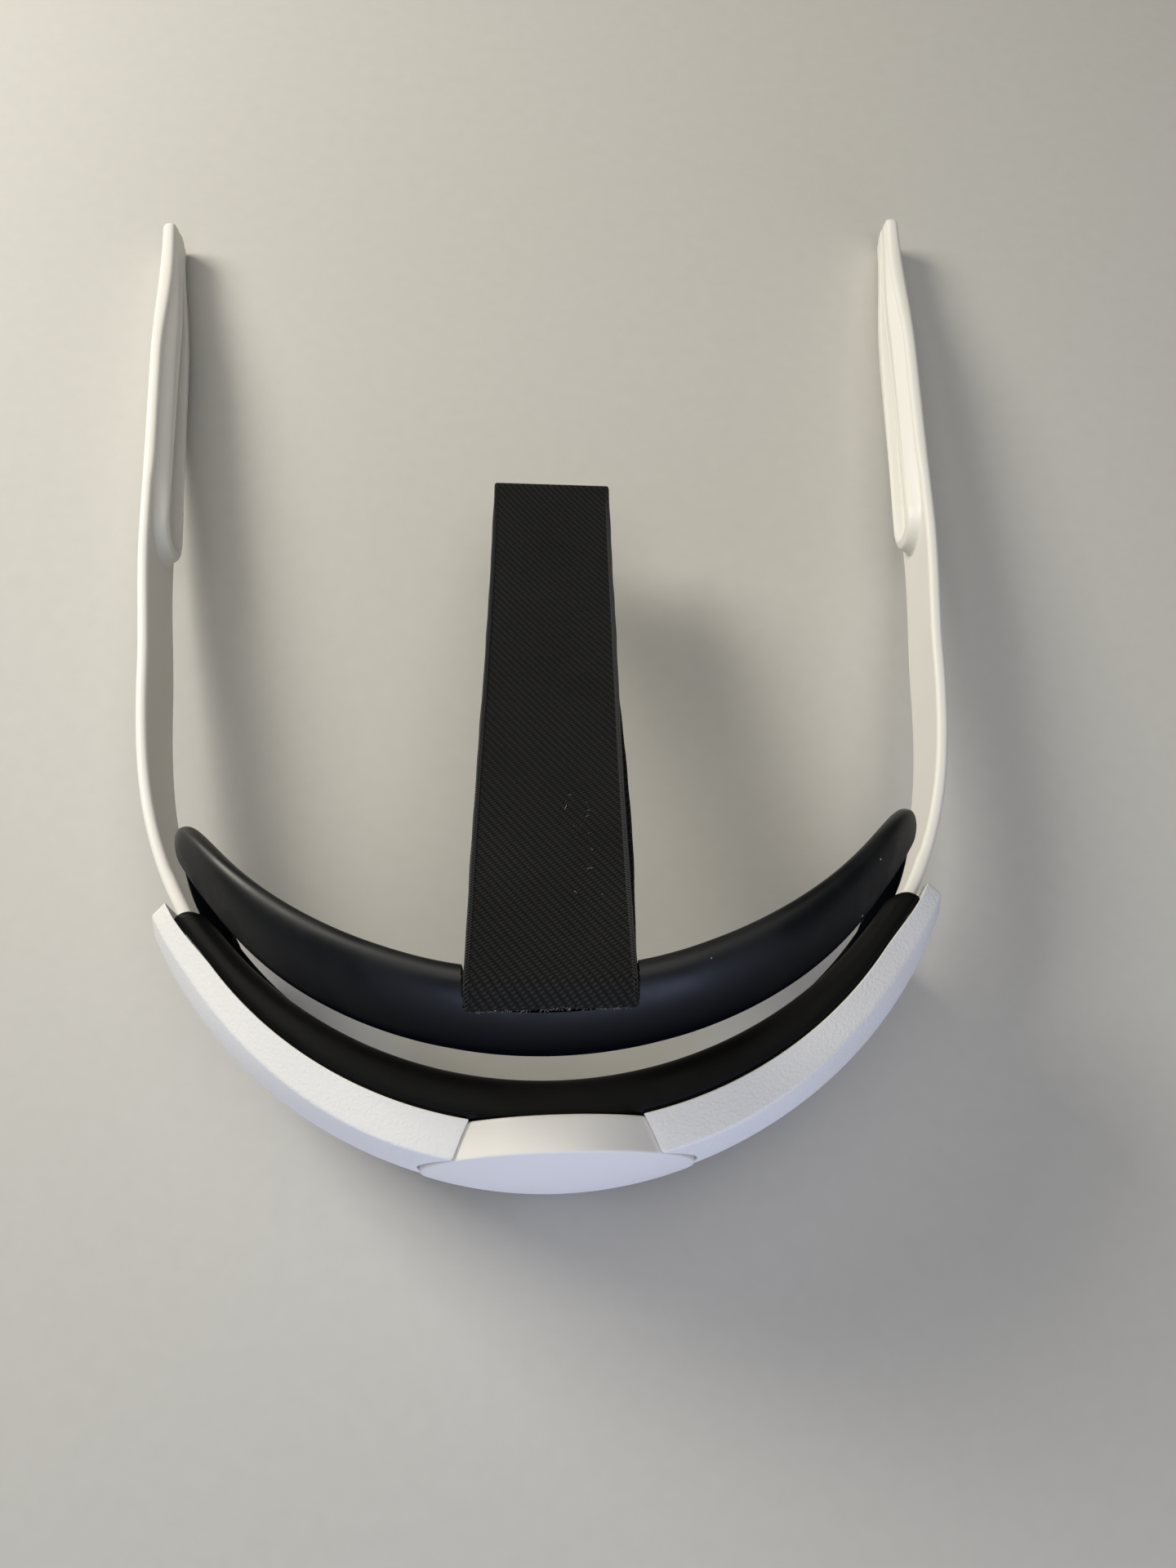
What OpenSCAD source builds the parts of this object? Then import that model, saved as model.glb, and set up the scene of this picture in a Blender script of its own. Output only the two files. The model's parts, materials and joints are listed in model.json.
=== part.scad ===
// Rigid rear head strap for a head-worn display.
// A wheel at the back turns a pinion between two curved racks, which draws both side arms in or lets
// them out. A soft ring cups the back of the head, and a webbing strap lies over the top of the ring.
// Lengths are millimetres and angles are degrees. The strap's own frame has its origin at the centre of
// the shell's curve, +Y toward the face, +Z up through the strap. The whole part is then leaned so that
// it rests on a table as it would be put down.

/* [Guide] */
// Radius of the curve that both arms slide along
guide_radius = 81; // [76:0.5:86]
// How far the guide's centre lies ahead of the shell's centre
guide_forward = 9; // [7:0.5:11]
// Clearance round a sliding band or rack
slide_gap = 0.3; // [0.3:0.05:0.5]

/* [Arms] */
// Thickness of the thin part of an arm
band_thickness = 2.6; // [2.2:0.1:3.2]
// Height of the thin part of an arm
band_height = 18.5; // [16:0.5:19.5]
// Angle from the rear at which the band begins, inside the shell
band_root = 34; // [32:0.5:36]
// Angle from the rear at which the arm leaves the guide curve
bend_start = 66; // [64:0.5:70]
// Radius of the gentle bend ahead of the guide curve
bend_radius = 130; // [110:1:150]
// Outward splay of the straight front part of an arm
splay = 4.2; // [2:0.1:6]
// How far ahead of the shell's centre an arm reaches
arm_reach = 156; // [145:1:168]

/* [Pods] */
// Length of the thick front part of an arm
pod_length = 102; // [90:1:108]
// Greatest thickness of a pod
pod_thickness = 5; // [4.4:0.1:6]
// Greatest height of a pod
pod_height = 18; // [17:0.5:21]
// Height of a pod close to its tip
tip_height = 11.5; // [9:0.5:13]
// Thickness of a pod at its tip
tip_thickness = 3.4; // [2.8:0.1:4]
// Depth of the leaf-shaped seat in a pod's inner face
seat_depth = 2.6; // [2:0.1:2.9]
// Height of the leaf-shaped seat at its middle
seat_height = 9; // [8:0.5:10]
// Wall of the clip frame that lines the seat
clip_wall = 1; // [0.8:0.1:1.2]
// How far the clip frame stands proud of the pod
clip_lip = 0.5; // [0.3:0.1:0.8]
// Depth of the groove round the seat's floor that the clip frame stands in
clip_groove = 0.25; // [0.2:0.05:0.4]

/* [Shell] */
// Half of the angle that the rear shell spans
shell_half_angle = 62; // [60:0.5:64]
// Half of the shell's height where it meets the inner cover
shell_half_height = 20; // [18.5:0.5:22]
// Width of the sloping face along the shell's top and bottom
slope_width = 4.8; // [4:0.1:5.6]
// How much that face drops over its width
slope_drop = 3.5; // [2.5:0.1:4.5]
// How far the outer face swells between its edges
bulge = 3.6; // [2.6:0.1:4.4]
// Wall thickness of the rear shell
shell_wall = 2; // [1.6:0.1:2.4]
// Half of the angle that the inner cover spans
cover_half_angle = 60; // [58.5:0.5:61]
// Height of the inner cover's rolled top edge above the middle
cover_top = 21.3; // [20.6:0.1:22.5]
// Seam left between the two covers
seam_gap = 0.1; // [0.05:0.05:0.2]

/* [Wheel] */
// Diameter of the fit wheel
wheel_diameter = 50; // [47:0.5:52]
// Width of the wheel's smooth rim
rim_width = 5.8; // [5.4:0.1:6.6]
// Rise of the wheel's domed face above its rim
dome_rise = 4.4; // [3.8:0.1:5]
// Wall of the wheel's rim
rim_wall = 2.4; // [2:0.1:3]
// Clearance round the wheel in its well
wheel_gap = 0.4; // [0.3:0.05:0.6]
// Diameter of the pinion's shaft
shaft_diameter = 5; // [4.6:0.1:5.4]
// Radial running clearance of the shaft in its bushing
running_gap = 0.05; // [0.03:0.01:0.08]
// Wall of the shaft bushing
bushing_wall = 0.95; // [0.8:0.05:1.1]

/* [Gear] */
// Tooth module of the pinion and both racks
gear_module = 0.8; // [0.75:0.05:0.85]
// Number of pinion teeth, an even number
pinion_teeth = 10; // [10:2:10]
// Pressure angle of the teeth
pressure_angle = 25; // [23:1:27]
// Play left at each tooth flank
flank_gap = 0.32; // [0.3:0.02:0.36]
// Thickness of a rack
rack_thickness = 1.2; // [1:0.1:1.4]
// Angle that a rack's tail reaches past the wheel
rack_tail = 13; // [12:0.5:14]

/* [Ring] */
// Radius of the upper loop of the soft ring, seen from above
loop_radius = 72.6; // [70:0.2:75]
// Bearing of the ring's two corners, seen from the shell's centre
corner_angle = 62.05; // [61:0.05:63]
// How far the corners lie inside the lower pad's curve
corner_inset = 1.64; // [1.4:0.02:1.9]
// Height of the middle of the upper loop
loop_height = 41; // [39:0.5:44]
// Height of the ring's two corners
corner_height = 25; // [23:0.5:27]
// Width of the upper loop from edge to edge
loop_width = 17; // [16:0.2:19]
// Half width of the ring at a corner
corner_half = 5; // [4.5:0.1:5.5]
// Forward lean of the upper loop
loop_lean = 27; // [22:0.5:32]
// Thickness of the soft upper loop
loop_thickness = 4.2; // [3.8:0.1:4.8]
// Thickness of the stiff plate on the loop's rear face
plate_thickness = 1.4; // [1.2:0.1:1.8]
// Thickness of the soft lower pad
pad_thickness = 2.3; // [1.8:0.1:2.6]
// How far the lower pad reaches below the middle
pad_drop = 26.5; // [25.5:0.1:28]
// Clearance between a soft piece and its seat
soft_gap = 0.2; // [0.1:0.05:0.3]

/* [Strap] */
// Width of the webbing
strap_width = 25; // [20:0.5:28]
// Thickness of the webbing
webbing = 1.5; // [1.2:0.1:1.8]
// Spacing of the strap's two layers, middle to middle
layer_pitch = 2.4; // [2.2:0.1:2.8]
// How far the strap reaches ahead of its bar
strap_reach = 123; // [100:1:140]
// How far the strap's far end hangs below its bar
strap_drop = 37; // [30:0.5:40]
// Diameter of the bar that the strap hangs on
bar_diameter = 3; // [2.6:0.1:3.2]
// Length of the webbing's free end behind the bar
tail_length = 5.5; // [4.5:0.5:7]

/* [Hidden] */
$fn = 96;
far = 400;
// Distance of the racks behind the shell's centre, which sets every layer of the wheel's stack
back = guide_radius - guide_forward;
rack_half = rack_thickness / 2;
band_half = band_thickness / 2;
channel_half = band_height / 2 + slide_gap;
floor_in = back + rack_half + slide_gap + 0.35;
floor_out = floor_in + 1;
rim_in = floor_out + 0.3;
rim_out = rim_in + rim_width;
dome_top = rim_out + dome_rise;
web_out = rim_out + 0.4;
web_in = web_out - 1.5;
boss_out = web_in - 1.6;
washer_out = boss_out + 0.55;
hub_in = washer_out + 0.3;
gear_out = floor_in - 0.3;
gear_in = back - rack_half - 0.35;
cover_wall = 0.85;
cover_in = gear_in - 0.3 - cover_wall;
parting = back + 3.5;
cover_out = parting - seam_gap;
slope_edge = parting + slope_width;
shell_radius = slope_edge + bulge;
edge_z = shell_half_height - slope_drop;
bulge_radius = (edge_z * edge_z + bulge * bulge) / (2 * bulge);
cover_half_height = cover_top - 1.3;
lip_end = cover_half_angle - 9;
wheel_radius = wheel_diameter / 2;
well_radius = wheel_radius + wheel_gap;
dome_radius = (wheel_radius * wheel_radius + dome_rise * dome_rise) / (2 * dome_rise);
cap_radius = wheel_radius - rim_wall + 0.7;
shaft_radius = shaft_diameter / 2;
bushing_bore = shaft_radius + running_gap;
bushing_radius = bushing_bore + bushing_wall;
boss_radius = bushing_radius + 2;
pitch_radius = gear_module * pinion_teeth / 2;
addendum = 0.75 * gear_module;
dedendum = 1.15 * gear_module;
tooth_pitch = 180 * gear_module / guide_radius;
tooth_half = PI * gear_module / 4 - flank_gap / 2;
rack_top = band_height / 2 - 0.25;
rack_foot = pitch_radius + dedendum;
lap_end = band_root + 8;
lap_low = 1.8;
screw_angle = 40;
screw_z = 14;
tab_angle = 57;
tab_z = 13.5;
tab_in = cover_in + 1.3;
tab_out = tab_in + 1.6;
bar_radius = bar_diameter / 2;
anchor_radius = bar_radius + slide_gap + webbing / 2;
notch_width = strap_width + 2;
lug_wall = 0.8;
pod_start = arm_reach - pod_length;
pod_half = pod_height / 2;
tip_half = tip_height / 2;
step_in = 0.1;
arm_thickness = band_thickness - 2 * step_in;
inner_x = arm_thickness / 2 - pod_thickness;
pad_radius = cover_in - soft_gap - pad_thickness / 2;
pad_top = cover_top - 4.6;
pad_middle = (pad_top - pad_drop) / 2;
pad_half = (pad_top + pad_drop) / 2;
// Points along an arm, from the guide curve to the start of the straight part
leave_point = guide_point(guide_radius, bend_start);
bend_centre = leave_point - bend_radius * [sin(bend_start), -cos(bend_start)];
straight_point = bend_centre + bend_radius * [cos(splay), -sin(splay)];
straight_start = straight_point[1];
straight_length = (arm_reach - straight_start) / cos(splay);
pod_at = (pod_start - straight_start) / cos(splay);
// Corner of the ring, and the upper loop's arc that runs through both corners
corner_radius = pad_radius - corner_inset;
corner_x = corner_radius * sin(corner_angle);
corner_y = -corner_radius * cos(corner_angle);
loop_half_angle = asin(corner_x / loop_radius);
loop_forward = corner_y + loop_radius * cos(loop_half_angle);
tab_root = corner_radius + (loop_thickness + pad_thickness) / 4 + soft_gap + 0.2;
tab_top = corner_height + 8.5;
// The bar lies in the loop's middle surface, a little below its upper edge
loop_back = loop_forward - loop_radius;
bar_up = loop_width / 2 - 4.5;
bar_y = loop_back + bar_up * sin(loop_lean);
bar_z = loop_height + bar_up * cos(loop_lean);
// Resting pose: the lower pad's edge and the pods' tips touch the table
rest_y = arm_reach - 7;
lean = atan((pad_drop - tip_half) / (rest_y + pad_radius));
rest_z = pad_drop * cos(lean) - pad_radius * sin(lean) + 0.18;
centre_y = -(arm_reach * cos(lean) - dome_top * cos(lean)) / 2;

function guide_point(r, a) = [r * sin(a), guide_forward - r * cos(a)];
function lerp(a, b, k) = a + (b - a) * k;
function ease(k) = let (q = min(1, max(0, k))) q * q * (3 - 2 * q);
function inv_deg(a) = tan(a) * 180 / PI - a;

// Shared helpers

module rest() {
  translate([0, centre_y, rest_z])
    rotate([-lean, 0, 0])
      children();
}

// Sweeps a section (radius, height) about the shell's centre, between two angles from the rear
module sweep_arc(a0, a1) {
  rotate([0, 0, a0 - 90])
    rotate_extrude(angle = a1 - a0)
      children();
}

// The same about the guide's centre
module guide_arc(a0, a1) {
  translate([0, guide_forward, 0])
    sweep_arc(a0, a1)
      children();
}

module section_box(r0, r1, z0, z1) {
  translate([r0, z0])
    square([r1 - r0, z1 - z0]);
}

// A cylinder pointing straight out of the shell at an angle and a height
module spoke(angle, z, r0, r1, d0, d1) {
  rotate([0, 0, angle])
    translate([0, -r0, z])
      rotate([90, 0, 0])
        cylinder(h = r1 - r0, r1 = d0, r2 = d1);
}

// A cylinder on the wheel's axis, from one distance behind the centre to another
module axle(y0, y1, r) {
  translate([0, -y0, 0])
    rotate([90, 0, 0])
      cylinder(h = y1 - y0, r = r);
}

// A profile (radius, distance behind the centre) turned about the wheel's axis
module turned() {
  rotate([90, 0, 0])
    rotate_extrude()
      children();
}

// A profile (forward, up) given a width from side to side
module across(width) {
  rotate([90, 0, 90])
    linear_extrude(height = width, center = true)
      children();
}

// Joins equal sections into a solid, either as a closed ring or with two flat ends
module skin(sections, ring) {
  n = len(sections);
  m = len(sections[0]);
  last = ring ? n - 1 : n - 2;
  sides = [
    for (i = [0:last], j = [0:m - 1])
      let (a = i * m + j, b = i * m + (j + 1) % m)
        let (c = ((i + 1) % n) * m + (j + 1) % m, d = ((i + 1) % n) * m + j)
          each [[a, b, c], [a, c, d]]
  ];
  ends = ring ? [] : [[for (j = [m - 1:-1:0]) j], [for (j = [0:m - 1]) (n - 1) * m + j]];
  polyhedron(points = [for (s = sections) each s], faces = concat(sides, ends), convexity = 8);
}

// Channels that the bands and racks slide in

module channels() {
  for (side = [-1, 1])
    guide_arc(side > 0 ? band_root - 6 : -80, side > 0 ? 80 : 6 - band_root)
      section_box(guide_radius - band_half - slide_gap, guide_radius + band_half + slide_gap,
        -channel_half, channel_half);
  guide_arc(-band_root, band_root)
    section_box(guide_radius - rack_half - slide_gap, guide_radius + rack_half + slide_gap,
      step_in - channel_half, channel_half - step_in);
}

// Rear shell

module shell_section(inset, inner) {
  top = shell_half_height - inset;
  fall = slope_drop / slope_width;
  reach = shell_radius + 1 - inner;
  low = top - reach * fall + (parting - inner) * fall;
  start = top + (parting - inner) * fall;
  intersection() {
    translate([shell_radius - bulge_radius, 0])
      circle(bulge_radius - inset, $fn = 240);
    polygon([[inner, -start], [inner, start], [inner + reach, low], [inner + reach, -low]]);
  }
}

module rear_cover() {
  color("#e9e6de")
    difference() {
      union() {
        sweep_arc(-shell_half_angle, shell_half_angle)
          difference() {
            shell_section(0, parting);
            shell_section(shell_wall, parting - 2);
          }
        for (a = [-shell_half_angle, shell_half_angle - 2])
          sweep_arc(a, a + 2)
            shell_section(0, parting);
        wheel_well();
        for (a = [-screw_angle, screw_angle], z = [-screw_z, screw_z])
          intersection() {
            spoke(a, z, parting, shell_radius, 3, 3);
            sweep_arc(-shell_half_angle, shell_half_angle)
              shell_section(0.4, parting);
          }
      }
      axle(floor_out, far, well_radius);
      axle(floor_in - 1, floor_out + 1, bushing_radius);
      channels();
      for (a = [-screw_angle, screw_angle], z = [-screw_z, screw_z])
        spoke(a, z, parting - 1, parting + 4.6, 1.27, 1.27);
    }
  color("#e9e6de")
    difference() {
      axle(floor_in, boss_out, boss_radius);
      axle(floor_in - 1, boss_out + 1, bushing_radius);
    }
}

module wheel_well() {
  intersection() {
    axle(floor_in, far, well_radius + 1.8);
    sweep_arc(-40, 40)
      shell_section(0, parting);
  }
  translate([-well_radius - 1, -floor_out, -14])
    cube([2 * well_radius + 2, floor_out - floor_in, 28]);
}

// Inner cover, which closes the shell toward the head

module cover_section() {
  low = cover_half_height;
  polygon([
    [cover_in, -low + 1.2], [cover_in + 1.2, -low], [cover_out, -low], [cover_out, low],
    [cover_out - 1.6, cover_top - 0.2], [cover_out - 3.2, cover_top], [cover_in + 0.6, cover_top - 0.1],
    [cover_in - 0.7, cover_top - 0.9], [cover_in - 1.5, cover_top - 2.3],
    [cover_in - 1.4, cover_top - 3.8], [cover_in, cover_top - 4.2]
  ]);
}

module inner_cover() {
  hollow_top = cover_half_height - 1.6;
  color("#1b1b1a")
    difference() {
      union() {
        difference() {
          sweep_arc(-cover_half_angle, cover_half_angle)
            cover_section();
          for (z = [channel_half + 1.5, -hollow_top])
            sweep_arc(2 - cover_half_angle, cover_half_angle - 2)
              section_box(cover_in + 1.3, parting + 1, z, z + hollow_top - channel_half - 1.5);
        }
        for (a = [-screw_angle, screw_angle], z = [-screw_z, screw_z])
          spoke(a, z, cover_in + 0.4, cover_out - 0.1, 3, 3);
        for (a = [-tab_angle, tab_angle])
          spoke(a, tab_z, cover_in + 0.4, cover_out - 0.1, 2.8, 2.8);
      }
      channels();
      axle(floor_out - 0.6, far, well_radius + 0.2);
      translate([-well_radius - 1.5, -far, -14.4])
        cube([2 * well_radius + 3, far - floor_in + 0.35, 28.8]);
      axle(gear_in - 0.3, far, pitch_radius + addendum + 0.6);
      for (a = [-screw_angle, screw_angle], z = [-screw_z, screw_z]) {
        spoke(a, z, cover_in - 1, far, 1.35, 1.35);
        spoke(a, z, cover_in - 0.05, cover_in + 1.1, 2.5, 1.35);
      }
      for (a = [-cover_half_angle - 1, lip_end])
        sweep_arc(a, a + cover_half_angle + 1 - lip_end)
          section_box(cover_in - 4, cover_in + 0.05, cover_top - 5, cover_top + 1);
      for (side = [-1, 1]) {
        a = side > 0 ? tab_angle - 2.8 : -90;
        sweep_arc(a, a + 92.8 - tab_angle)
          section_box(tab_in - 0.25, tab_out + 0.25, tab_z - 5.2, far);
        spoke(side * tab_angle, tab_z, cover_in - 1, cover_out - 0.4, 1.05, 1.05);
        spoke(side * tab_angle, tab_z, cover_in - 0.05, cover_in + 0.9, 2, 1.05);
      }
    }
}

module cover_screws() {
  color("#8d8f92")
    for (a = [-screw_angle, screw_angle], z = [-screw_z, screw_z]) {
      spoke(a, z, cover_in, cover_in + 1.05, 2.35, 1.25);
      spoke(a, z, cover_in + 0.9, parting + 4, 1.25, 1.25);
    }
}

// Soft ring and its stiff plate. The turn angle runs from the right corner over the top.

function halo_rise(t) = pow(abs(sin(t)), 0.35);
function halo_bearing(t) =
  let (f = halo_rise(t), c = cos(t))
    sin(t) >= 0 ? lerp(corner_angle, loop_half_angle, f) * c : corner_angle * c;
function halo_middle(t) =
  let (f = halo_rise(t), c = cos(t), a = loop_half_angle * c, b = corner_angle * c)
    let (r = lerp(corner_radius, pad_radius, f))
      sin(t) >= 0
        ? [loop_radius * sin(a), loop_forward - loop_radius * cos(a),
            lerp(corner_height, loop_height, f)]
        : [r * sin(b), -r * cos(b), lerp(corner_height, pad_middle, f)];
function halo_lean(t) =
  sin(t) >= 0 ? loop_lean * lerp(0.4, 1, halo_rise(t)) : 0.4 * loop_lean * pow(1 - halo_rise(t), 3);
function halo_half(t) = lerp(corner_half, sin(t) >= 0 ? loop_width / 2 : pad_half, halo_rise(t));
function halo_thick(t) =
  lerp(lerp(loop_thickness, pad_thickness, 0.5), sin(t) >= 0 ? loop_thickness : pad_thickness,
    halo_rise(t));
function halo_out(t) =
  let (v = halo_bearing(t), q = halo_lean(t)) [sin(v) * cos(q), -cos(v) * cos(q), sin(q)];
function halo_up(t) =
  let (v = halo_bearing(t), q = halo_lean(t)) [-sin(v) * sin(q), cos(v) * sin(q), cos(q)];
// The sideways share of a section's width is wrapped round the shell's centre
function halo_wrap(p, along) =
  let (a = along / norm([p[0], p[1]]) * 180 / PI)
    [p[0] * cos(a) - p[1] * sin(a), p[0] * sin(a) + p[1] * cos(a), p[2]];
function halo_point(t, w, n) =
  halo_wrap(halo_middle(t) + w * sin(t) * halo_up(t) + n * halo_out(t), w * cos(t));

// Rounded section of the ring as (across, outward) pairs
function round_pair(g, a, b) =
  let (c = cos(g), s = sin(g))
    [a * sign(c) * pow(abs(c), 0.75), b * sign(s) * pow(abs(s), 0.6)];
function halo_section(t) = [
  for (g = [0:30:330])
    let (p = round_pair(g, halo_half(t), halo_thick(t) / 2))
      halo_point(t, p[0], p[1])
];

// Turn angles, closer together round the corners
turns = [for (i = [0:63]) let (k = i * 360 / 64) k - 14 * sin(2 * k)];
plate_turns = [for (t = turns) if (t > 5 && t < 175) t];

// The plate is flat across, so it stands off by the sag of the wrapped pad behind it
function plate_section(t) =
  let (a = 0.84 * halo_half(t), sag = pow(a * cos(t), 2) / (2 * pad_radius))
    let (n = halo_thick(t) / 2 + 1.5 * soft_gap + sag)
      [
        halo_point(t, -a, n), halo_point(t, a, n), halo_point(t, a - 0.5, n + plate_thickness),
        halo_point(t, 0.5 - a, n + plate_thickness)
      ];

// Profile (forward, up) in front of the bar's notch
module notch_profile(grow) {
  translate([bar_y, bar_z])
    rotate(-loop_lean)
      translate([-15, -4.2 - grow])
        square([30, 40]);
}

module lug_profile(grow) {
  translate([bar_y, bar_z])
    rotate(-loop_lean) {
      circle(bar_radius + lug_wall + grow);
      translate([-loop_thickness / 2 - soft_gap - plate_thickness / 2, -bar_radius - lug_wall - grow])
        square([loop_thickness / 2 + soft_gap + plate_thickness / 2, 2 * (bar_radius + lug_wall + grow)]);
    }
}

module bar_lugs(grow) {
  for (side = [-1, 1])
    translate([side * (notch_width / 2 + 2), 0, 0])
      across(4 + 2 * grow)
        lug_profile(grow);
}

module bar_bore(r, width) {
  across(width)
    translate([bar_y, bar_z])
      circle(r);
}

module halo_plate() {
  color("#15171a")
    difference() {
      union() {
        difference() {
          skin([for (t = plate_turns) plate_section(t)], false);
          across(notch_width)
            notch_profile(0);
        }
        bar_lugs(0);
        for (side = [-1, 1])
          sweep_arc(side > 0 ? tab_angle - 2.4 : -tab_angle - 5.5, side > 0 ? tab_angle + 5.5 : 2.4 - tab_angle) {
            section_box(tab_in, tab_out, tab_z - 4.8, tab_top);
            section_box(tab_root, tab_out, cover_top + 0.5, tab_top);
          }
      }
      bar_bore(bar_radius + 0.02, notch_width + 6);
      for (side = [-1, 1])
        spoke(side * tab_angle, tab_z, tab_in - 1, tab_out + 1, 1.05, 1.05);
    }
}

module halo_pad() {
  color("#191919")
    difference() {
      skin([for (t = turns) halo_section(t)], true);
      across(notch_width)
        notch_profile(0);
      bar_lugs(0.25);
    }
}

module halo_screws() {
  color("#8d8f92")
    for (a = [-tab_angle, tab_angle]) {
      spoke(a, tab_z, cover_in, cover_in + 0.85, 1.85, 1);
      spoke(a, tab_z, cover_in + 0.7, cover_out - 0.6, 1, 1);
    }
}

module strap_bar() {
  color("#77797c")
    bar_bore(bar_radius, notch_width + 5.6);
}

// Wheel, its shaft and its click

module shaft_bushing() {
  color("#b58a4a")
    difference() {
      axle(floor_in + 0.05, boss_out, bushing_radius - 0.01);
      axle(floor_in - 1, boss_out + 1, bushing_bore);
    }
}

module thrust_washer() {
  color("#d9d7cf")
    difference() {
      axle(boss_out + 0.02, washer_out, boss_radius - 0.3);
      axle(boss_out - 1, washer_out + 1, bushing_bore + 0.4);
    }
}

module click_leaf() {
  base = -floor_out - 0.45;
  color("#a9abad")
    difference() {
      translate([0, 0, 9.4])
        linear_extrude(height = 3.2)
          polygon([
            [-9, base], [-9, base + 0.4], [-4, base + 0.4], [3.6, -web_in + 1.5], [4.8, -web_in + 0.75],
            [6, -web_in + 1.9], [6, -web_in + 1.4], [4.8, -web_in + 0.3], [3.5, -web_in + 1.1], [-4.2, base]
          ]);
      translate([-6.6, 0, 11])
        axle(floor_out - 1, far, 0.85);
    }
}

module leaf_screw() {
  color("#8d8f92")
    translate([-6.6, 0, 11]) {
      axle(floor_out + 0.47, floor_out + 1.3, 1.4);
      axle(floor_out + 0.02, floor_out + 0.6, 0.8);
    }
}

module wheel_knob() {
  inner = wheel_radius - rim_wall;
  color("#e4e2de")
    difference() {
      turned()
        difference() {
          intersection() {
            union() {
              section_box(inner, wheel_radius, rim_in, dome_top);
              section_box(0, inner + 1, web_in, web_out);
              section_box(0, shaft_radius + 3, hub_in, web_out);
            }
            translate([0, dome_top - dome_radius])
              circle(dome_radius, $fn = 240);
          }
          section_box(-1, cap_radius + 0.1, web_out, far);
          polygon([
            [wheel_radius - 0.5, rim_in - 0.1], [wheel_radius + 0.1, rim_in - 0.1],
            [wheel_radius + 0.1, rim_in + 0.5]
          ]);
        }
      translate([0, -hub_in + 1, 0])
        rotate([90, 0, 0])
          linear_extrude(height = far)
            drive_flat(0.04);
      for (a = [0:15:345])
        rotate([0, a, 0])
          translate([4.8, 0, 11])
            axle(web_in - 1, web_in + 0.6, 0.9);
    }
}

// Shaft end with two flats, which turns the wheel and the pinion together
module drive_flat(grow) {
  intersection() {
    circle(shaft_radius - 0.1 + grow);
    square([2 * shaft_radius, 2 * shaft_radius - 1.4 + 2 * grow], center = true);
  }
}

module wheel_cap() {
  color("#dfe0e2")
    turned()
      difference() {
        intersection() {
          section_box(0, cap_radius, web_out + 0.05, far);
          translate([0, dome_top - dome_radius])
            circle(dome_radius, $fn = 240);
        }
        intersection() {
          section_box(-1, cap_radius - 1.8, web_out - 1, far);
          translate([0, dome_top - dome_radius - 1.6])
            circle(dome_radius, $fn = 240);
        }
      }
}

// One flank of a pinion tooth, from its base circle outward
function flank_angle(r) =
  let (base = pitch_radius * cos(pressure_angle), half = tooth_half / pitch_radius * 180 / PI)
    half + inv_deg(pressure_angle) - inv_deg(acos(min(1, base / r)));
function tooth_points(mid) =
  let (base = pitch_radius * cos(pressure_angle), top = pitch_radius + addendum)
    let (rs = [for (i = [0:5]) base + (top - base) * i / 5])
      concat(
        [for (i = [0:5]) rs[i] * [cos(mid - flank_angle(rs[i])), sin(mid - flank_angle(rs[i]))]],
        [for (i = [5:-1:0]) rs[i] * [cos(mid + flank_angle(rs[i])), sin(mid + flank_angle(rs[i]))]]
      );

module pinion() {
  root = pitch_radius - dedendum;
  step = 360 / pinion_teeth;
  hub = [for (i = [0:pinion_teeth - 1]) each concat(
    [root * [cos(90 + (i - 0.5) * step), sin(90 + (i - 0.5) * step)]], tooth_points(90 + i * step))];
  color("#e8e4d4")
    difference() {
      union() {
        translate([0, -gear_in, 0])
          rotate([90, 0, 0])
            linear_extrude(height = gear_out - gear_in)
              polygon(hub);
        axle(gear_out - 0.2, hub_in - 0.2, shaft_radius);
        translate([0, -hub_in + 0.4, 0])
          rotate([90, 0, 0])
            linear_extrude(height = web_out - hub_in + 0.2)
              drive_flat(0);
      }
      axle(floor_out - 0.5, far, 1.02);
    }
}

module wheel_screw() {
  color("#8d8f92") {
    axle(web_out + 0.02, web_out + 1.1, 2.8);
    axle(floor_out, web_out + 0.5, 1);
  }
}

// Arms

// Section of a band as (outward, up) points, with softened edges
function band_points(t, h) =
  let (o = t / 2, e = 0.18 * t)
    [
      [-o, h - 2 * e], [-o, 2 * e - h], [e - o, -h], [o - e, -h], [o, 2 * e - h], [o, h - 2 * e], [o - e, h],
      [e - o, h]
    ];

module on_straight() {
  translate([straight_point[0], straight_point[1], 0])
    rotate([0, 0, -splay])
      children();
}

// Places section points (outward, up) at a point of the arm's path that faces a bearing
function arm_ring(p, bearing, points) = [
  for (q = points) [p[0] + q[0] * sin(bearing), p[1] - q[0] * cos(bearing), q[1]]
];

// Half height and thickness of a pod at a fraction of its length
function pod_rise(v) =
  lerp(lerp(band_height / 2 - step_in, pod_half, ease(v / 0.2)), tip_half, ease((v - 0.5) / 0.44));
function pod_fill(v) =
  lerp(lerp(arm_thickness, pod_thickness, ease(v / 0.12)), tip_thickness, ease((v - 0.62) / 0.38));
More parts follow.
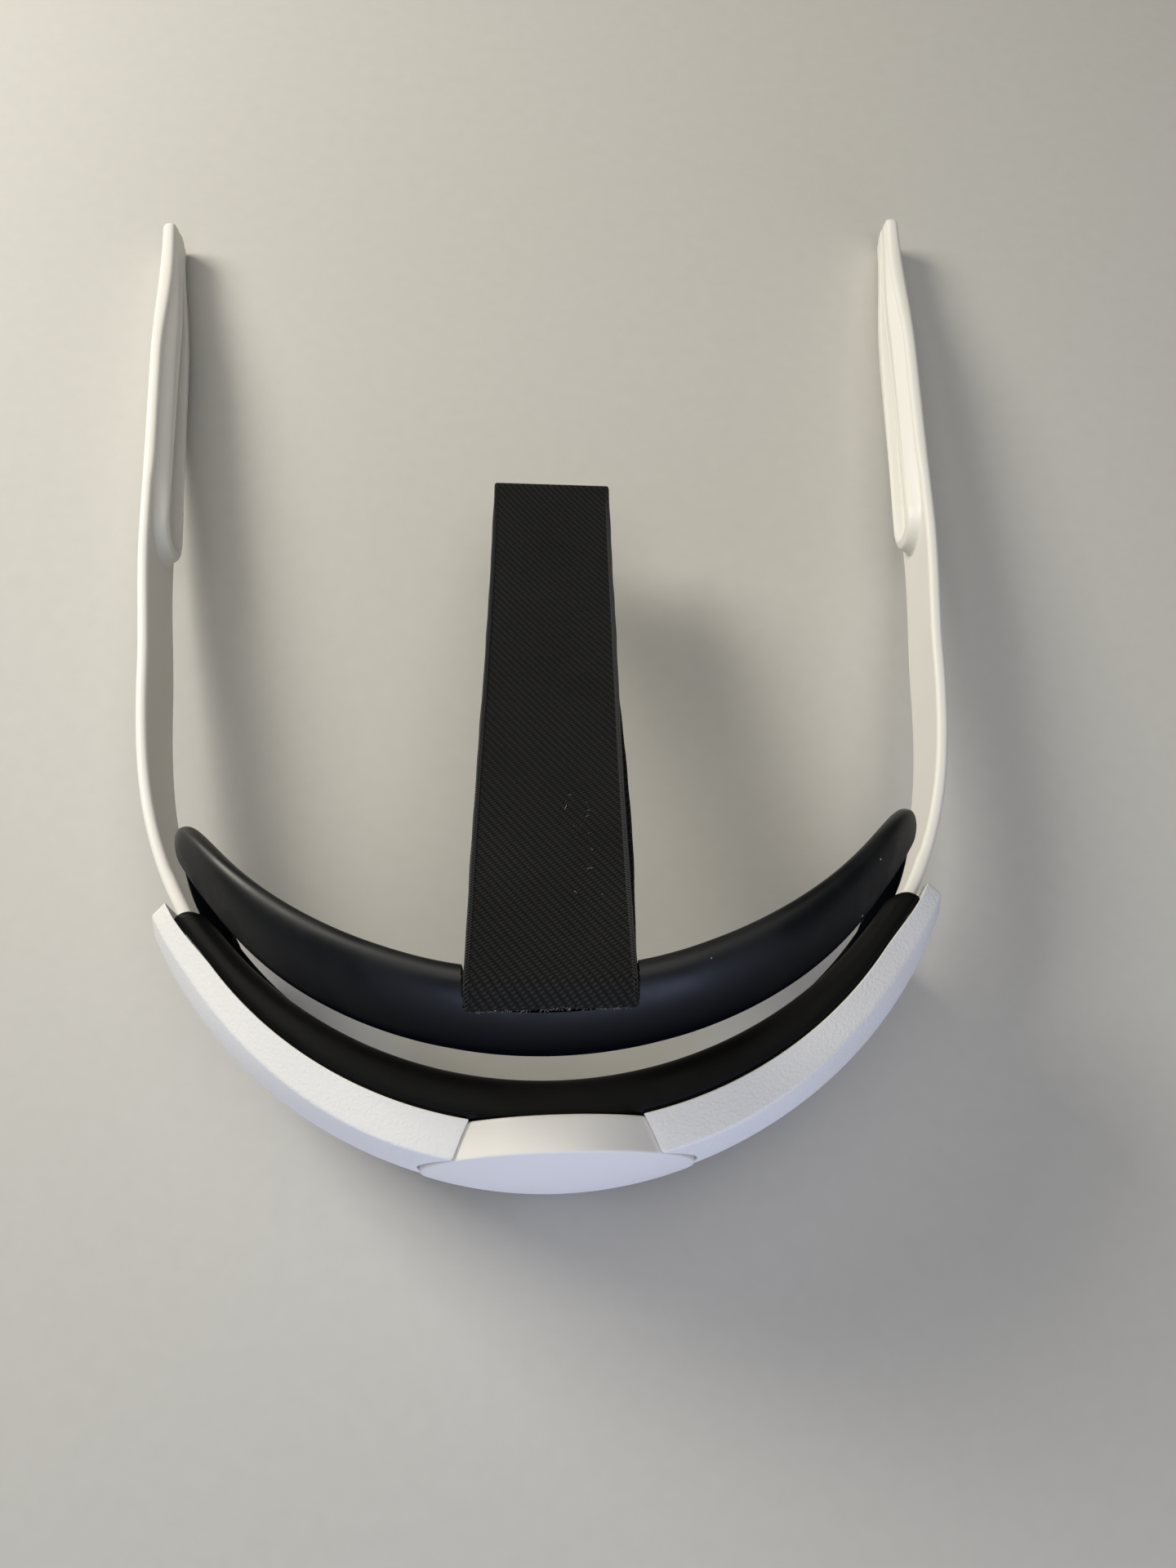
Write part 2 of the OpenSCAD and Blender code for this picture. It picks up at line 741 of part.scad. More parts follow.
// Rounding of the last twentieth of a pod
function pod_end(v) = v < 0.95 ? 1 : sqrt(max(0.02, 1 - pow((v - 0.95) / 0.0505, 2)));
function pod_points(v) =
  let (q = pod_end(v), h = pod_rise(v) * (0.35 + 0.65 * q), t = pod_fill(v) * (0.5 + 0.5 * q))
    let (o = arm_thickness / 2 - (1 - q) * 0.8, i = o - t, e = 0.18 * t, s = ease(v / 0.12))
      let (d = lerp(2 * e, min(3.6, 0.4 * h), s), k = lerp(i + e, o - 0.45 * t, s))
        [
          [i, h - d], [i, d - h], [k, -h], [o - e, -h], [o, 2 * e - h], [o, h - 2 * e], [o - e, h], [k, h]
        ];
pod_steps = [0, 0.02, 0.04, 0.06, 0.08, for (i = [2:18]) i / 20, 0.93, 0.95, 0.965, 0.98, 0.99, 0.997, 1];
bend_steps = [for (i = [0:8]) lerp(bend_start, 90 - splay, i / 8)];

function arm_sections() =
  let (slim = band_points(arm_thickness, band_height / 2 - step_in))
    concat(
      [arm_ring(guide_point(guide_radius, bend_start - 1), bend_start - 1, slim)],
      [for (a = bend_steps) arm_ring(bend_centre + bend_radius * [sin(a), -cos(a)], a, slim)],
      [for (v = pod_steps)
        arm_ring(straight_point + lerp(pod_at, straight_length, v) * [sin(splay), cos(splay)],
          90 - splay, pod_points(v))]
    );

// Leaf outline (along, up) of the seat, made smaller by a margin
function leaf_half(k) = seat_height / 2 * pow(max(0, sin(180 * k)), 0.7);
module leaf(margin) {
  y0 = lerp(pod_at, straight_length, 0.12) + margin * 1.5;
  y1 = lerp(pod_at, straight_length, 0.88) - margin * 1.5;
  upper = [for (i = [0:24]) [lerp(y0, y1, i / 24), max(0.2, leaf_half(i / 24) - margin)]];
  lower = [for (i = [24:-1:0]) [lerp(y0, y1, i / 24), -max(0.2, leaf_half(i / 24) - margin)]];
  polygon(concat(upper, lower));
}

// Gives the leaf outline a depth, between two distances from the arm's middle surface
module leaf_block(x0, x1, margin) {
  translate([x0, 0, 0])
    rotate([90, 0, 90])
      linear_extrude(height = x1 - x0)
        leaf(margin);
}

// Groove for the clip frame, which leaves the seat's floor standing inside it
module seat_groove() {
  difference() {
    leaf_block(inner_x, inner_x + seat_depth + clip_groove, 0);
    leaf_block(inner_x - 1, inner_x + seat_depth + clip_groove + 1, clip_wall + 0.2);
  }
}

module right_arm_shape() {
  difference() {
    union() {
      guide_arc(band_root, bend_start)
        translate([guide_radius, 0])
          polygon(band_points(band_thickness, band_height / 2));
      skin(arm_sections(), false);
    }
    on_straight()
      leaf_block(inner_x - 5, inner_x + seat_depth, 0);
    on_straight()
      seat_groove();
    rack_lap(0.05);
    for (a = [band_root + 2.5, band_root + 5.5])
      rivet(a, 0.92, 2);
  }
}

// The part of the lower rack that sits in the band's forked root
module rack_lap(grow) {
  guide_arc(band_root - 1 - grow, lap_end + grow)
    section_box(guide_radius - rack_half - grow, guide_radius + rack_half + grow,
      -rack_top - grow, -lap_low + grow);
}

module rivet(angle, r, grow) {
  translate([0, guide_forward, 0])
    spoke(angle, -(rack_top + lap_low) / 2, guide_radius - band_half - grow,
      guide_radius + band_half + grow, r, r);
}

// The rack that belongs to the right arm: its teeth point up at the pinion
module right_rack_shape() {
  count = floor((rack_tail + 9) / tooth_pitch);
  low = -rack_foot;
  difference() {
    union() {
      guide_arc(-rack_tail, band_root)
        section_box(guide_radius - rack_half, guide_radius + rack_half, -rack_top, low);
      rack_lap(-0.03);
      for (i = [0:count - 1])
        translate([0, guide_forward, 0])
          rotate([0, 0, 0.5 * tooth_pitch - (floor(rack_tail / tooth_pitch) - i) * tooth_pitch])
            translate([0, step_in - guide_radius - rack_half, 0])
              rotate([90, 0, 180])
                linear_extrude(height = rack_thickness - 2 * step_in)
                  rack_tooth();
    }
    for (a = [band_root + 2.5, band_root + 5.5])
      rivet(a, 0.92, 2);
  }
}

module rack_tooth() {
  rise = tan(pressure_angle);
  foot = tooth_half + (dedendum + 0.2) * rise;
  tip = tooth_half - addendum * rise;
  polygon([
    [-foot, -rack_foot - 0.2], [foot, -rack_foot - 0.2], [tip, addendum - pitch_radius],
    [-tip, addendum - pitch_radius]
  ]);
}

module right_rivets_shape() {
  for (a = [band_root + 2.5, band_root + 5.5])
    rivet(a, 0.9, -0.02);
}

module right_clip_shape() {
  difference() {
    on_straight()
      leaf_block(inner_x - clip_lip, inner_x + seat_depth + clip_groove - 0.05, 0.1);
    on_straight()
      leaf_block(inner_x - 5, inner_x + seat_depth + 1, clip_wall + 0.1);
  }
}

// The left side is the same four pieces turned over
module turned_over() {
  rotate([0, 180, 0])
    children();
}

module right_arm() {
  color("#e6e4e0")
    right_arm_shape();
}

module right_rack() {
  color("#d8d4c6")
    right_rack_shape();
}

module right_rivets() {
  color("#9b9da0")
    right_rivets_shape();
}

module right_clip() {
  color("#e2e0dc")
    right_clip_shape();
}

module left_arm() {
  color("#e6e4e0")
    turned_over()
      right_arm_shape();
}

module left_rack() {
  color("#d8d4c6")
    turned_over()
      right_rack_shape();
}

module left_rivets() {
  color("#9b9da0")
    turned_over()
      right_rivets_shape();
}

module left_clip() {
  color("#e2e0dc")
    turned_over()
      right_clip_shape();
}

// Webbing strap: a sewn eye round the bar, a lower layer, a fold and an upper layer with a free end

function strap_height(u) = bar_z + anchor_radius - strap_drop * (1 - pow(max(0, 1 - u), 1.28));
function strap_middle(u) = [bar_y + strap_reach * u, strap_height(u)];
function strap_slope(u) =
  let (d = strap_middle(min(1, u + 0.01)) - strap_middle(max(0, u - 0.01))) d / norm(d);
function strap_point(u, n) = let (d = strap_slope(u)) strap_middle(u) + n * [-d[1], d[0]];

strap_steps = [for (i = [0:24]) i / 24];
fold_steps = [for (a = [-75:15:75]) a];

function fold_point(a, r) =
  let (d = strap_slope(1), c = strap_point(1, layer_pitch / 2))
    c + r * (cos(a) * d + sin(a) * [-d[1], d[0]]);
// The free end droops behind the bar
function tail_point(k, n) =
  let (p = strap_point(0, layer_pitch), q = 34 * k)
    p + [-tail_length * k, -0.3 * tail_length * k * k] + n * [-sin(q), cos(q)];
tail_steps = [for (i = [1:6]) i / 6];

module strap_profile() {
  h = webbing / 2;
  outer = concat(
    [for (u = strap_steps) strap_point(u, -h)],
    [for (a = fold_steps) fold_point(a, layer_pitch / 2 + h)],
    [for (i = [24:-1:0]) strap_point(strap_steps[i], layer_pitch + h)],
    [for (k = tail_steps) tail_point(k, h)]
  );
  inner = concat(
    [for (i = [5:-1:0]) tail_point(tail_steps[i], -h)],
    [for (u = strap_steps) strap_point(u, layer_pitch - h)],
    [for (i = [10:-1:0]) fold_point(fold_steps[i], layer_pitch / 2 - h)],
    [for (i = [24:-1:0]) strap_point(strap_steps[i], h)]
  );
  polygon(concat(outer, inner));
  translate([bar_y, bar_z])
    difference() {
      circle(anchor_radius + h);
      circle(anchor_radius - h);
    }
}

module top_strap() {
  color("#232324")
    across(strap_width)
      strap_profile();
}

module hook_tape() {
  h = (layer_pitch - webbing) / 2 - 0.06;
  steps = [for (i = [0:10]) lerp(0.1, 0.42, i / 10)];
  color("#2b2b2c")
    across(strap_width - 3)
      polygon(concat(
        [for (u = steps) strap_point(u, layer_pitch / 2 - h)],
        [for (i = [10:-1:0]) strap_point(steps[i], layer_pitch / 2 + h)]
      ));
}

rest() rear_cover();
rest() inner_cover();
rest() cover_screws();
rest() halo_plate();
rest() halo_pad();
rest() halo_screws();
rest() strap_bar();
rest() shaft_bushing();
rest() thrust_washer();
rest() click_leaf();
rest() leaf_screw();
rest() wheel_knob();
rest() wheel_cap();
rest() pinion();
rest() wheel_screw();
rest() left_arm();
rest() left_rack();
rest() left_rivets();
rest() left_clip();
rest() right_arm();
rest() right_rack();
rest() right_rivets();
rest() right_clip();
rest() top_strap();
rest() hook_tape();
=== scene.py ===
import json
import math
import bmesh
import bpy
import numpy as np
from mathutils import Matrix, Vector


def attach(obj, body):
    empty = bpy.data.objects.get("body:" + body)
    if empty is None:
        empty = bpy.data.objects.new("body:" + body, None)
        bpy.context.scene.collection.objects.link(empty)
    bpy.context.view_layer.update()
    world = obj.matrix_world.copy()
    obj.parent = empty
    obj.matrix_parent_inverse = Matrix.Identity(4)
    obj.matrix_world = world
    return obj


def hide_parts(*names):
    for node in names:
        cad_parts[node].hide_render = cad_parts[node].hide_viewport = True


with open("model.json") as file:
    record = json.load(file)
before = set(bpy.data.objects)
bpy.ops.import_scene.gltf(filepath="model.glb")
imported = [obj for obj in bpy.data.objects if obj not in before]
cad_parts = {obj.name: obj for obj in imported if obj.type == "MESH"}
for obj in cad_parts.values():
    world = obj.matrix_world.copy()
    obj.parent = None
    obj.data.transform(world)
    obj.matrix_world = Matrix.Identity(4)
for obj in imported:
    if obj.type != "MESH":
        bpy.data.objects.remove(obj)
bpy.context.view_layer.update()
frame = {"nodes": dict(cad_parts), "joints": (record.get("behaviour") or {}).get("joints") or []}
nodes = frame["nodes"]
joints = {j["name"]: j for j in frame["joints"]}
print("frame loaded:", len(nodes), "nodes")

# Strap coordinates: millimetres (side, front, up) from the centre of the shell's curve
mm = 0.001
guideForward = 9.0  # the arms turn about a point this far ahead of the shell's centre
upAxis = np.array(joints["left_arm_slide"]["axis"], float)
frontAxis = np.array(joints["wheel_turn"]["axis"], float)
sideAxis = np.cross(frontAxis, upAxis)
shellCentre = np.array(joints["left_arm_slide"]["pos_m"], float) - guideForward * mm * frontAxis


def place(p):  # strap coordinates to the frame, in metres
    return shellCentre + mm * (p[..., :1] * sideAxis + p[..., 1:2] * frontAxis + p[..., 2:3] * upAxis)


def lerp(a, b, k):
    return a + (b - a) * k


def ease(k):  # smooth step from 0 to 1
    q = np.clip(k, 0.0, 1.0)
    return q * q * (3 - 2 * q)


def part(value, start, end):  # share of the way from start to end, held at 0 and 1
    return np.clip((value - start) / (end - start), 0.0, 1.0)


def between(value, start, end):  # the same as a smooth step
    return ease(part(value, start, end))


def bell(value, middle, width):  # bump of height 1 about the middle
    return np.exp(-(((value - middle) / width) ** 2))


def join(*pieces):
    return np.concatenate(pieces)


def columns(*values):  # arrays of values to one array of points
    return np.stack(values, -1)


def power(c, e):  # signed power, the rounding of a superellipse
    return np.sign(c) * np.abs(c) ** e


def bezier(p, q, r, count):  # quadratic curve from p to r, drawn toward q
    k = np.linspace(0, 1, count)[:, None]
    return (1 - k) ** 2 * np.array(p) + 2 * k * (1 - k) * np.array(q) + k * k * np.array(r)


def straight(p, q, count):  # points on the line from p to q, without p itself
    return lerp(np.array(p), np.array(q), np.linspace(0, 1, count)[1:, None])


def unit(v):  # vectors brought to length 1
    return v / np.linalg.norm(v, axis=-1, keepdims=True)


def distance(line):  # distance along a polyline at each of its points
    return join([0], np.cumsum(np.linalg.norm(np.diff(line, axis=0), axis=1)))


def alongLine(corners, count):  # points spread evenly along a polyline
    corners = np.array(corners, float)
    run = distance(corners)
    at = np.linspace(0, run[-1], count)
    return np.stack([np.interp(at, run, corners[:, k]) for k in range(2)], -1)


# Meshes

def gridFaces(rows, cols, wrapRows=False, wrapCols=False):
    i = np.arange(rows if wrapRows else rows - 1)[:, None]
    j = np.arange(cols if wrapCols else cols - 1)[None, :]
    corners = [i * cols + j, i * cols + (j + 1) % cols]
    corners += [(i + 1) % rows * cols + (j + 1) % cols, (i + 1) % rows * cols + j]
    return np.stack(np.broadcast_arrays(*corners), -1).reshape(-1, 4)


def endCap(row, cols):  # strip across one closed section, each point joined to its opposite
    j = np.arange(cols // 2 - 1)
    return row * cols + columns(j, j + 1, cols - 2 - j, cols - 1 - j)


def tubeFaces(rows, cols):  # a closed section carried along a path, with two flat ends
    return join(gridFaces(rows, cols, wrapCols=True), endCap(0, cols), endCap(rows - 1, cols))


def makePiece(name, points, faces=None, uv=None, crease=38):  # a closed tube unless faces are given
    mesh = bpy.data.meshes.new(name)
    faces = tubeFaces(*points.shape[:2]) if faces is None else faces
    mesh.from_pydata(place(points.reshape(-1, 3)).tolist(), [], faces.tolist())
    if uv is not None:
        corner = np.empty(len(mesh.loops), np.int32)
        mesh.loops.foreach_get("vertex_index", corner)
        mesh.uv_layers.new(name="weave").data.foreach_set("uv", uv.reshape(-1, 2)[corner].ravel())
    work = bmesh.new()
    work.from_mesh(mesh)
    bmesh.ops.remove_doubles(work, verts=work.verts, dist=1e-7)
    bmesh.ops.recalc_face_normals(work, faces=work.faces)
    work.to_mesh(mesh)
    work.free()
    mesh.shade_smooth()
    mesh.set_sharp_from_angle(angle=math.radians(crease))
    piece = bpy.data.objects.new(name, mesh)
    bpy.context.scene.collection.objects.link(piece)
    return piece


def dress(piece, body, material, slot, *stoodFor):
    piece.data.materials.append(material)
    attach(piece, body)
    if stoodFor:
        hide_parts(*stoodFor)


# Finishes: noise scales are per metre

skin = dict(
    drift=35.0, roughSwing=0.05, film=90.0, filmLift=1.35, filmRough=(-0.05, 0.06), dust=330.0, dustSize=0.07,
    fade=(0.15, 0.95), fadePower=2.2, streak=(300.0, 3000.0, 3000.0), streakRough=0.07, streakDark=0.82,
    twist=3500.0, twistDark=0.55, twistDeep=0.00004,
)
weave = dict(
    ribPitch=1.4, ribRise=1.36, ribPower=0.7, floatPitch=0.66, floatSlant=0.45, floatSwing=(0.42, 0.58), gloss=0.25,
    # yarn is the webbing's own colour; the near-black colour after it is painted shade for the troughs between the
    # yarns
    yarn=(0.0195, 0.0198, 0.0215), troughShade=(0.0015, 0.0015, 0.0017), fuzz=4200.0, fuzzHeight=0.35, fuzzTone=0.25,
    worn=60.0, wornTone=(0.75, 1.2), lint=(700.0, 0.1, 0.004), lintColour=(0.12, 0.12, 0.12), rough=(0.72, 0.9),
    deep=0.0003,
)


def shaded(colour, share):
    return tuple(share * c for c in colour)


class lookMaker:  # a principled material; its methods add nodes and return their outputs
    def __init__(self, name, values):
        self.material = bpy.data.materials.new(name)
        self.material.use_nodes = True
        self.tree = self.material.node_tree
        self.feed(values)

    def put(self, inputs, values):  # a plain number or colour is set on its socket, an output is linked to it
        for key, value in values.items():
            if isinstance(value, bpy.types.NodeSocket):
                self.tree.links.new(value, inputs[key])
            else:
                inputs[key].default_value = (*value, 1.0) if inputs[key].type == "RGBA" else value

    def feed(self, values):  # values of the shader itself
        self.put(self.tree.nodes["Principled BSDF"].inputs, values)
        return self.material

    def add(self, kind, **values):
        node = self.tree.nodes.new("ShaderNode" + kind)
        self.put(node.inputs, values)
        return node.outputs

    def calc(self, operation, *values):
        node = self.tree.nodes.new("ShaderNodeMath")
        node.operation = operation
        self.put(node.inputs, dict(enumerate(values)))
        return node.outputs[0]

    def mix(self, factor, dark, light):
        node = self.tree.nodes.new("ShaderNodeMix")
        node.data_type = "RGBA"
        self.put(node.inputs, {0: factor, 6: dark, 7: light})
        return node.outputs[2]

    def where(self):
        return self.add("TexCoord")["Object"]

    def uv(self):
        return self.add("SeparateXYZ", Vector=self.add("TexCoord")["UV"])

    def noise(self, where, scale, detail=3.0, roughness=0.5):
        return self.add("TexNoise", Vector=where, Scale=scale, Detail=detail, Roughness=roughness)["Fac"]

    def ramp(self, value, given, wanted):  # straight line from one number range to another, held at its ends
        sockets = ("Value", "From Min", "From Max", "To Min", "To Max")
        return self.add("MapRange", **dict(zip(sockets, (value, *given, *wanted))))["Result"]

    def spread(self, value, low, high):  # noise value to a number range
        return self.ramp(value, (0.3, 0.7), (low, high))

    def bump(self, height, deep):
        return self.add("Bump", Height=height, Strength=1.0, Distance=deep)["Normal"]

    def specks(self, where, scale, size, share):  # a few small spots of dust, one to a cell
        cells = self.add("TexVoronoi", Vector=where, Scale=scale)
        chance = self.add("SeparateColor", Color=cells["Color"])[0]
        near = self.calc("LESS_THAN", cells["Distance"], size)
        return self.calc("MULTIPLY", near, self.calc("GREATER_THAN", chance, 1 - share))


def mouldedWhite(name, colour, shade, grain, rough):  # grain: scale and depth
    m = lookMaker(name, {"IOR": 1.47})
    where = m.where()
    drift = m.spread(m.noise(where, skin["drift"]), 0.0, 1.0)
    pebble = m.noise(where, grain[0], 2.0, 0.6)
    dull = m.spread(pebble, rough - skin["roughSwing"], rough + skin["roughSwing"])
    tint = m.mix(drift, shade, colour)
    return m.feed({"Base Color": tint, "Roughness": dull, "Normal": m.bump(pebble, grain[1])})


def softBlack(name, colour, dustColour, grain, rough, gloss, dustShare, dullEdge=False):
    m = lookMaker(name, {"IOR": 1.45, "Specular IOR Level": gloss})
    if dullEdge:  # the ring's shine fades out from its rolled rim to its lower edge
        share = m.ramp(m.uv()["Y"], skin["fade"], (0.0, 1.0))
        shine = m.calc("MULTIPLY", m.calc("POWER", share, skin["fadePower"]), gloss)
        m.feed({"Specular IOR Level": shine})
    where = m.where()
    film = m.spread(m.noise(where, skin["film"], 4.0), 0.0, 1.0)
    dust = m.specks(where, skin["dust"], skin["dustSize"], dustShare)
    base = m.mix(film, colour, shaded(colour, skin["filmLift"]))
    pebble = m.noise(where, grain[0], 2.0, 0.6)
    dull = m.spread(film, *(rough + swing for swing in skin["filmRough"]))
    tint = m.mix(dust, base, dustColour)
    return m.feed({"Base Color": tint, "Roughness": dull, "Normal": m.bump(pebble, grain[1])})


def drawnMetal(name, colour, rough):
    m = lookMaker(name, {"Metallic": 1.0})
    scratch = m.noise(m.add("Mapping", Vector=m.where(), Scale=skin["streak"])["Vector"], 1.0)
    dull = m.spread(scratch, rough - skin["streakRough"], rough + skin["streakRough"])
    tint = m.mix(scratch, shaded(colour, skin["streakDark"]), colour)
    return m.feed({"Base Color": tint, "Roughness": dull})


def webbingCloth(name):
    # twill ribs run down to the right, each a row of short floats, on the strap's own millimetres
    s = weave
    m = lookMaker(name, {"IOR": 1.4, "Specular IOR Level": s["gloss"]})
    at = m.uv()
    across, along = (m.calc("MULTIPLY", at[k], 1 / mm) for k in ("X", "Y"))
    slant = m.calc("SUBTRACT", across, m.calc("DIVIDE", along, s["ribRise"]))
    ribWave = m.calc("SINE", m.calc("MULTIPLY", slant, 2 * math.pi / s["ribPitch"]))
    rib = m.calc("MULTIPLY_ADD", ribWave, 0.5, 0.5)
    floatAt = m.calc("ADD", along, m.calc("MULTIPLY", across, s["floatSlant"]))
    floatWave = m.calc("SINE", m.calc("MULTIPLY", floatAt, 2 * math.pi / s["floatPitch"]))
    yarn = m.calc("MULTIPLY_ADD", floatWave, *s["floatSwing"])
    where = m.where()
    fuzz = m.noise(where, s["fuzz"], 2.0, 0.7)
    body = m.calc("MULTIPLY", m.calc("POWER", rib, s["ribPower"]), yarn)
    height = m.calc("ADD", body, m.calc("MULTIPLY", fuzz, s["fuzzHeight"]))
    worn = m.spread(m.noise(where, s["worn"]), *s["wornTone"])
    fuzzy = m.calc("ADD", body, m.calc("MULTIPLY", fuzz, s["fuzzTone"]))
    # colour runs from the yarn's own colour on the crests of the ribs and floats to near black in their troughs:
    # painted shade between the yarns
    shadedWeave = m.mix(m.calc("MULTIPLY", fuzzy, worn), s["troughShade"], s["yarn"])
    tint = m.mix(m.specks(where, *s["lint"]), shadedWeave, s["lintColour"])
    dull = m.spread(fuzz, *s["rough"])
    return m.feed({"Base Color": tint, "Roughness": dull, "Normal": m.bump(height, s["deep"])})


def thread(name, colour, rough):
    m = lookMaker(name, {"Roughness": rough})
    twist = m.noise(m.where(), skin["twist"], 2.0)
    tint = m.mix(twist, shaded(colour, skin["twistDark"]), colour)
    return m.feed({"Base Color": tint, "Normal": m.bump(twist, skin["twistDeep"])})


finish = dict(
    shellWhite=mouldedWhite("shellWhite", (0.85, 0.83, 0.795), (0.825, 0.805, 0.77), (1700.0, 0.00016), 0.52),
    wheelWhite=mouldedWhite("wheelWhite", (0.86, 0.835, 0.805), (0.845, 0.82, 0.79), (5200.0, 0.000004), 0.40),
    armWhite=mouldedWhite("armWhite", (0.82, 0.80, 0.76), (0.805, 0.785, 0.745), (4200.0, 0.000006), 0.42),
    coverBlack=softBlack("coverBlack", (0.0038, 0.0038, 0.0035), (0.10, 0.10, 0.095), (5200.0, 0.00001),
        rough=0.55, gloss=0.13, dustShare=0.05),
    ringBlack=softBlack("ringBlack", (0.0018, 0.0022, 0.0031), (0.34, 0.34, 0.33), (4200.0, 0.000006),
        rough=0.47, gloss=0.6, dustShare=0.16, dullEdge=True),
    webbing=webbingCloth("webbing"),
    selvedge=thread("selvedge", (0.034, 0.0335, 0.036), 0.7),
    frayed=thread("frayed", (0.3, 0.295, 0.285), 0.8),
    hooks=thread("hooks", (0.026, 0.026, 0.028), 0.6),
    gearPlastic=mouldedWhite("gearPlastic", (0.70, 0.67, 0.58), (0.66, 0.63, 0.54), (1800.0, 0.00001), 0.45),
    screwSteel=drawnMetal("screwSteel", (0.52, 0.53, 0.55), 0.35),
    barSteel=drawnMetal("barSteel", (0.45, 0.46, 0.48), 0.30),
    bushingBrass=drawnMetal("bushingBrass", (0.70, 0.50, 0.22), 0.32),
)
print("finishes:", len(finish))


# Rear shell: a section (distance from the centre, height) swept round the centre, in two halves that
# stop at the wheel's well

shell = dict(
    halfAngle=63.0, halfHeight=20.7, slopeWidth=(6.7, 4.3), slopeFade=1.15, slopeDrop=2.4, swellOut=83.9, wall=2.0,
    parting=75.8, flare=1.5, flareFrom=51.0, flareOut=82.0, wellRadius=25.1, flange=1.8, plateAngle=2.0,
    channelHalf=9.55, channelOut=82.6, edgeRound=0.6, lipRound=0.25, endRound=0.45, stations=90,
)


def channelRadius(angle, radius):  # distance from the shell's centre to a circle about the guide's centre
    c = guideForward * np.cos(angle)
    return np.sqrt(c * c - guideForward**2 + radius**2) - c


def slotLine(near, far, half, top, low, count):  # inner line of an end plate, stepped round the arm's slot
    return alongLine([[near, top], [near, half], [far, half], [far, -half], [near, -half], [near, low]], count)


def endFlare(angle):  # the seam between shell and bead widens a little toward its ends
    return shell["flare"] * between(np.degrees(angle), shell["flareFrom"], shell["halfAngle"])


def shellProfile(inset, share=0.0):
    # top seam, sloping face, rounded edge, swelling face and the same below, moved inward by inset;
    # the sloping face is widest beside the wheel and narrows with the share of the way to the end
    s = shell
    slopeWidth = float(lerp(*s["slopeWidth"], ease(s["slopeFade"] * share)))
    fall = s["slopeDrop"] / slopeWidth
    edgeZ = s["halfHeight"] - s["slopeDrop"]
    bulge = s["swellOut"] - s["parting"] - slopeWidth
    swell = (edgeZ**2 + bulge**2) / (2 * bulge)
    centre = s["swellOut"] - swell
    radius = swell - inset
    top = s["halfHeight"] - inset * math.hypot(1, fall)
    foot = top + fall * s["parting"]  # height of the slope's line at the axis
    a, b, c = 1 + fall**2, -2 * (centre + fall * foot), centre**2 + foot**2 - radius**2
    edgeR = (math.sqrt(b * b - 4 * a * c) - b) / (2 * a)  # where the slope meets the swelling face
    edge = np.array([edgeR, foot - fall * edgeR])
    down = np.array([1, -fall]) / math.hypot(1, fall)
    seam = np.array([s["parting"], top])
    start = math.atan2(edge[1], edgeR - centre) - s["edgeRound"] / radius
    arc = np.linspace(start, 0, 30)[:, None]
    swellPoints = np.array([centre, 0]) + radius * np.hstack([np.cos(arc), np.sin(arc)])
    lip = bezier(seam - [0, s["lipRound"]], seam, seam + s["lipRound"] * down, 6)
    slope = straight(lip[-1], edge - s["edgeRound"] * down, 12)[:-1]
    bend = bezier(edge - s["edgeRound"] * down, edge, swellPoints[0], 9)
    upper = join(lip, slope, bend, swellPoints[1:])
    return join(upper, upper[-2::-1] * [1, -1])


def shellHalf(side):
    # each row is a hoop of outer and inner line, every point turned to its own bearing: along the well's
    # rounded edge first, then from the well to the end plate in equal shares, then round the shell's end
    s = shell
    plain, thin = shellProfile(0.0), shellProfile(s["wall"])
    count = len(plain)
    flat = columns(np.full(count, s["parting"]), thin[:, 1])
    last = math.radians(s["halfAngle"])
    plate = math.radians(s["halfAngle"] - s["plateAngle"])
    notchR = channelRadius(plate, s["channelOut"])
    notch = slotLine(s["parting"], notchR, s["channelHalf"], thin[0, 1], thin[-1, 1], count)
    turn = np.linspace(0, math.pi / 2, 6)
    along = s["endRound"] * (1 - np.cos(turn))
    inset = s["endRound"] * (1 - np.sin(turn))

    def wellAngle(section, past):  # bearing at which the section lies that far past the wheel's well
        well = np.arcsin(np.sqrt(s["wellRadius"]**2 - section[:, 1]**2) / section[:, 0])
        return well + past / section[:, 0]

    def hoop(outer, inner, angleOf):
        loop = join(outer, inner[::-1])
        angle = angleOf(loop)
        reach = loop[:, 0] + endFlare(angle) * part(loop[:, 0], s["flareOut"], s["parting"])
        return columns(side * reach * np.sin(angle), -reach * np.cos(angle), loop[:, 1])

    rows = [hoop(shellProfile(d), flat, lambda p, m=m: wellAngle(p, m)) for m, d in zip(along, inset)]
    for inner in (flat, thin):
        rows.append(hoop(plain, inner, lambda p: wellAngle(p, s["flange"])))
    for k in np.linspace(0, 1, s["stations"])[1:]:
        section = (shellProfile(0.0, k), shellProfile(s["wall"], k))
        rows.append(hoop(*section, lambda p, k=k: lerp(wellAngle(p, s["flange"]), plate, k)))
    rows.append(hoop(shellProfile(0.0, 1.0), notch, lambda p: np.full(len(p), plate)))
    for m, d in zip(along[::-1], inset[::-1]):
        rows.append(hoop(shellProfile(d, 1.0), notch, lambda p, m=m: last - m / p[:, 0]))
    return np.stack(rows)


halves = [shellHalf(side) for side in (-1, 1)]
rows, cols = halves[0].shape[:2]
shellFaces = tubeFaces(rows, cols)
rearShell = makePiece("rearShell", np.concatenate(halves), join(shellFaces, shellFaces + rows * cols))
dress(rearShell, "cradle", finish["shellWhite"], "white_shell", "rear_cover")
print("rear shell:", len(rearShell.data.polygons), "faces")


# Inner cover: a rolled bead over a thin wall, hollow toward the shell

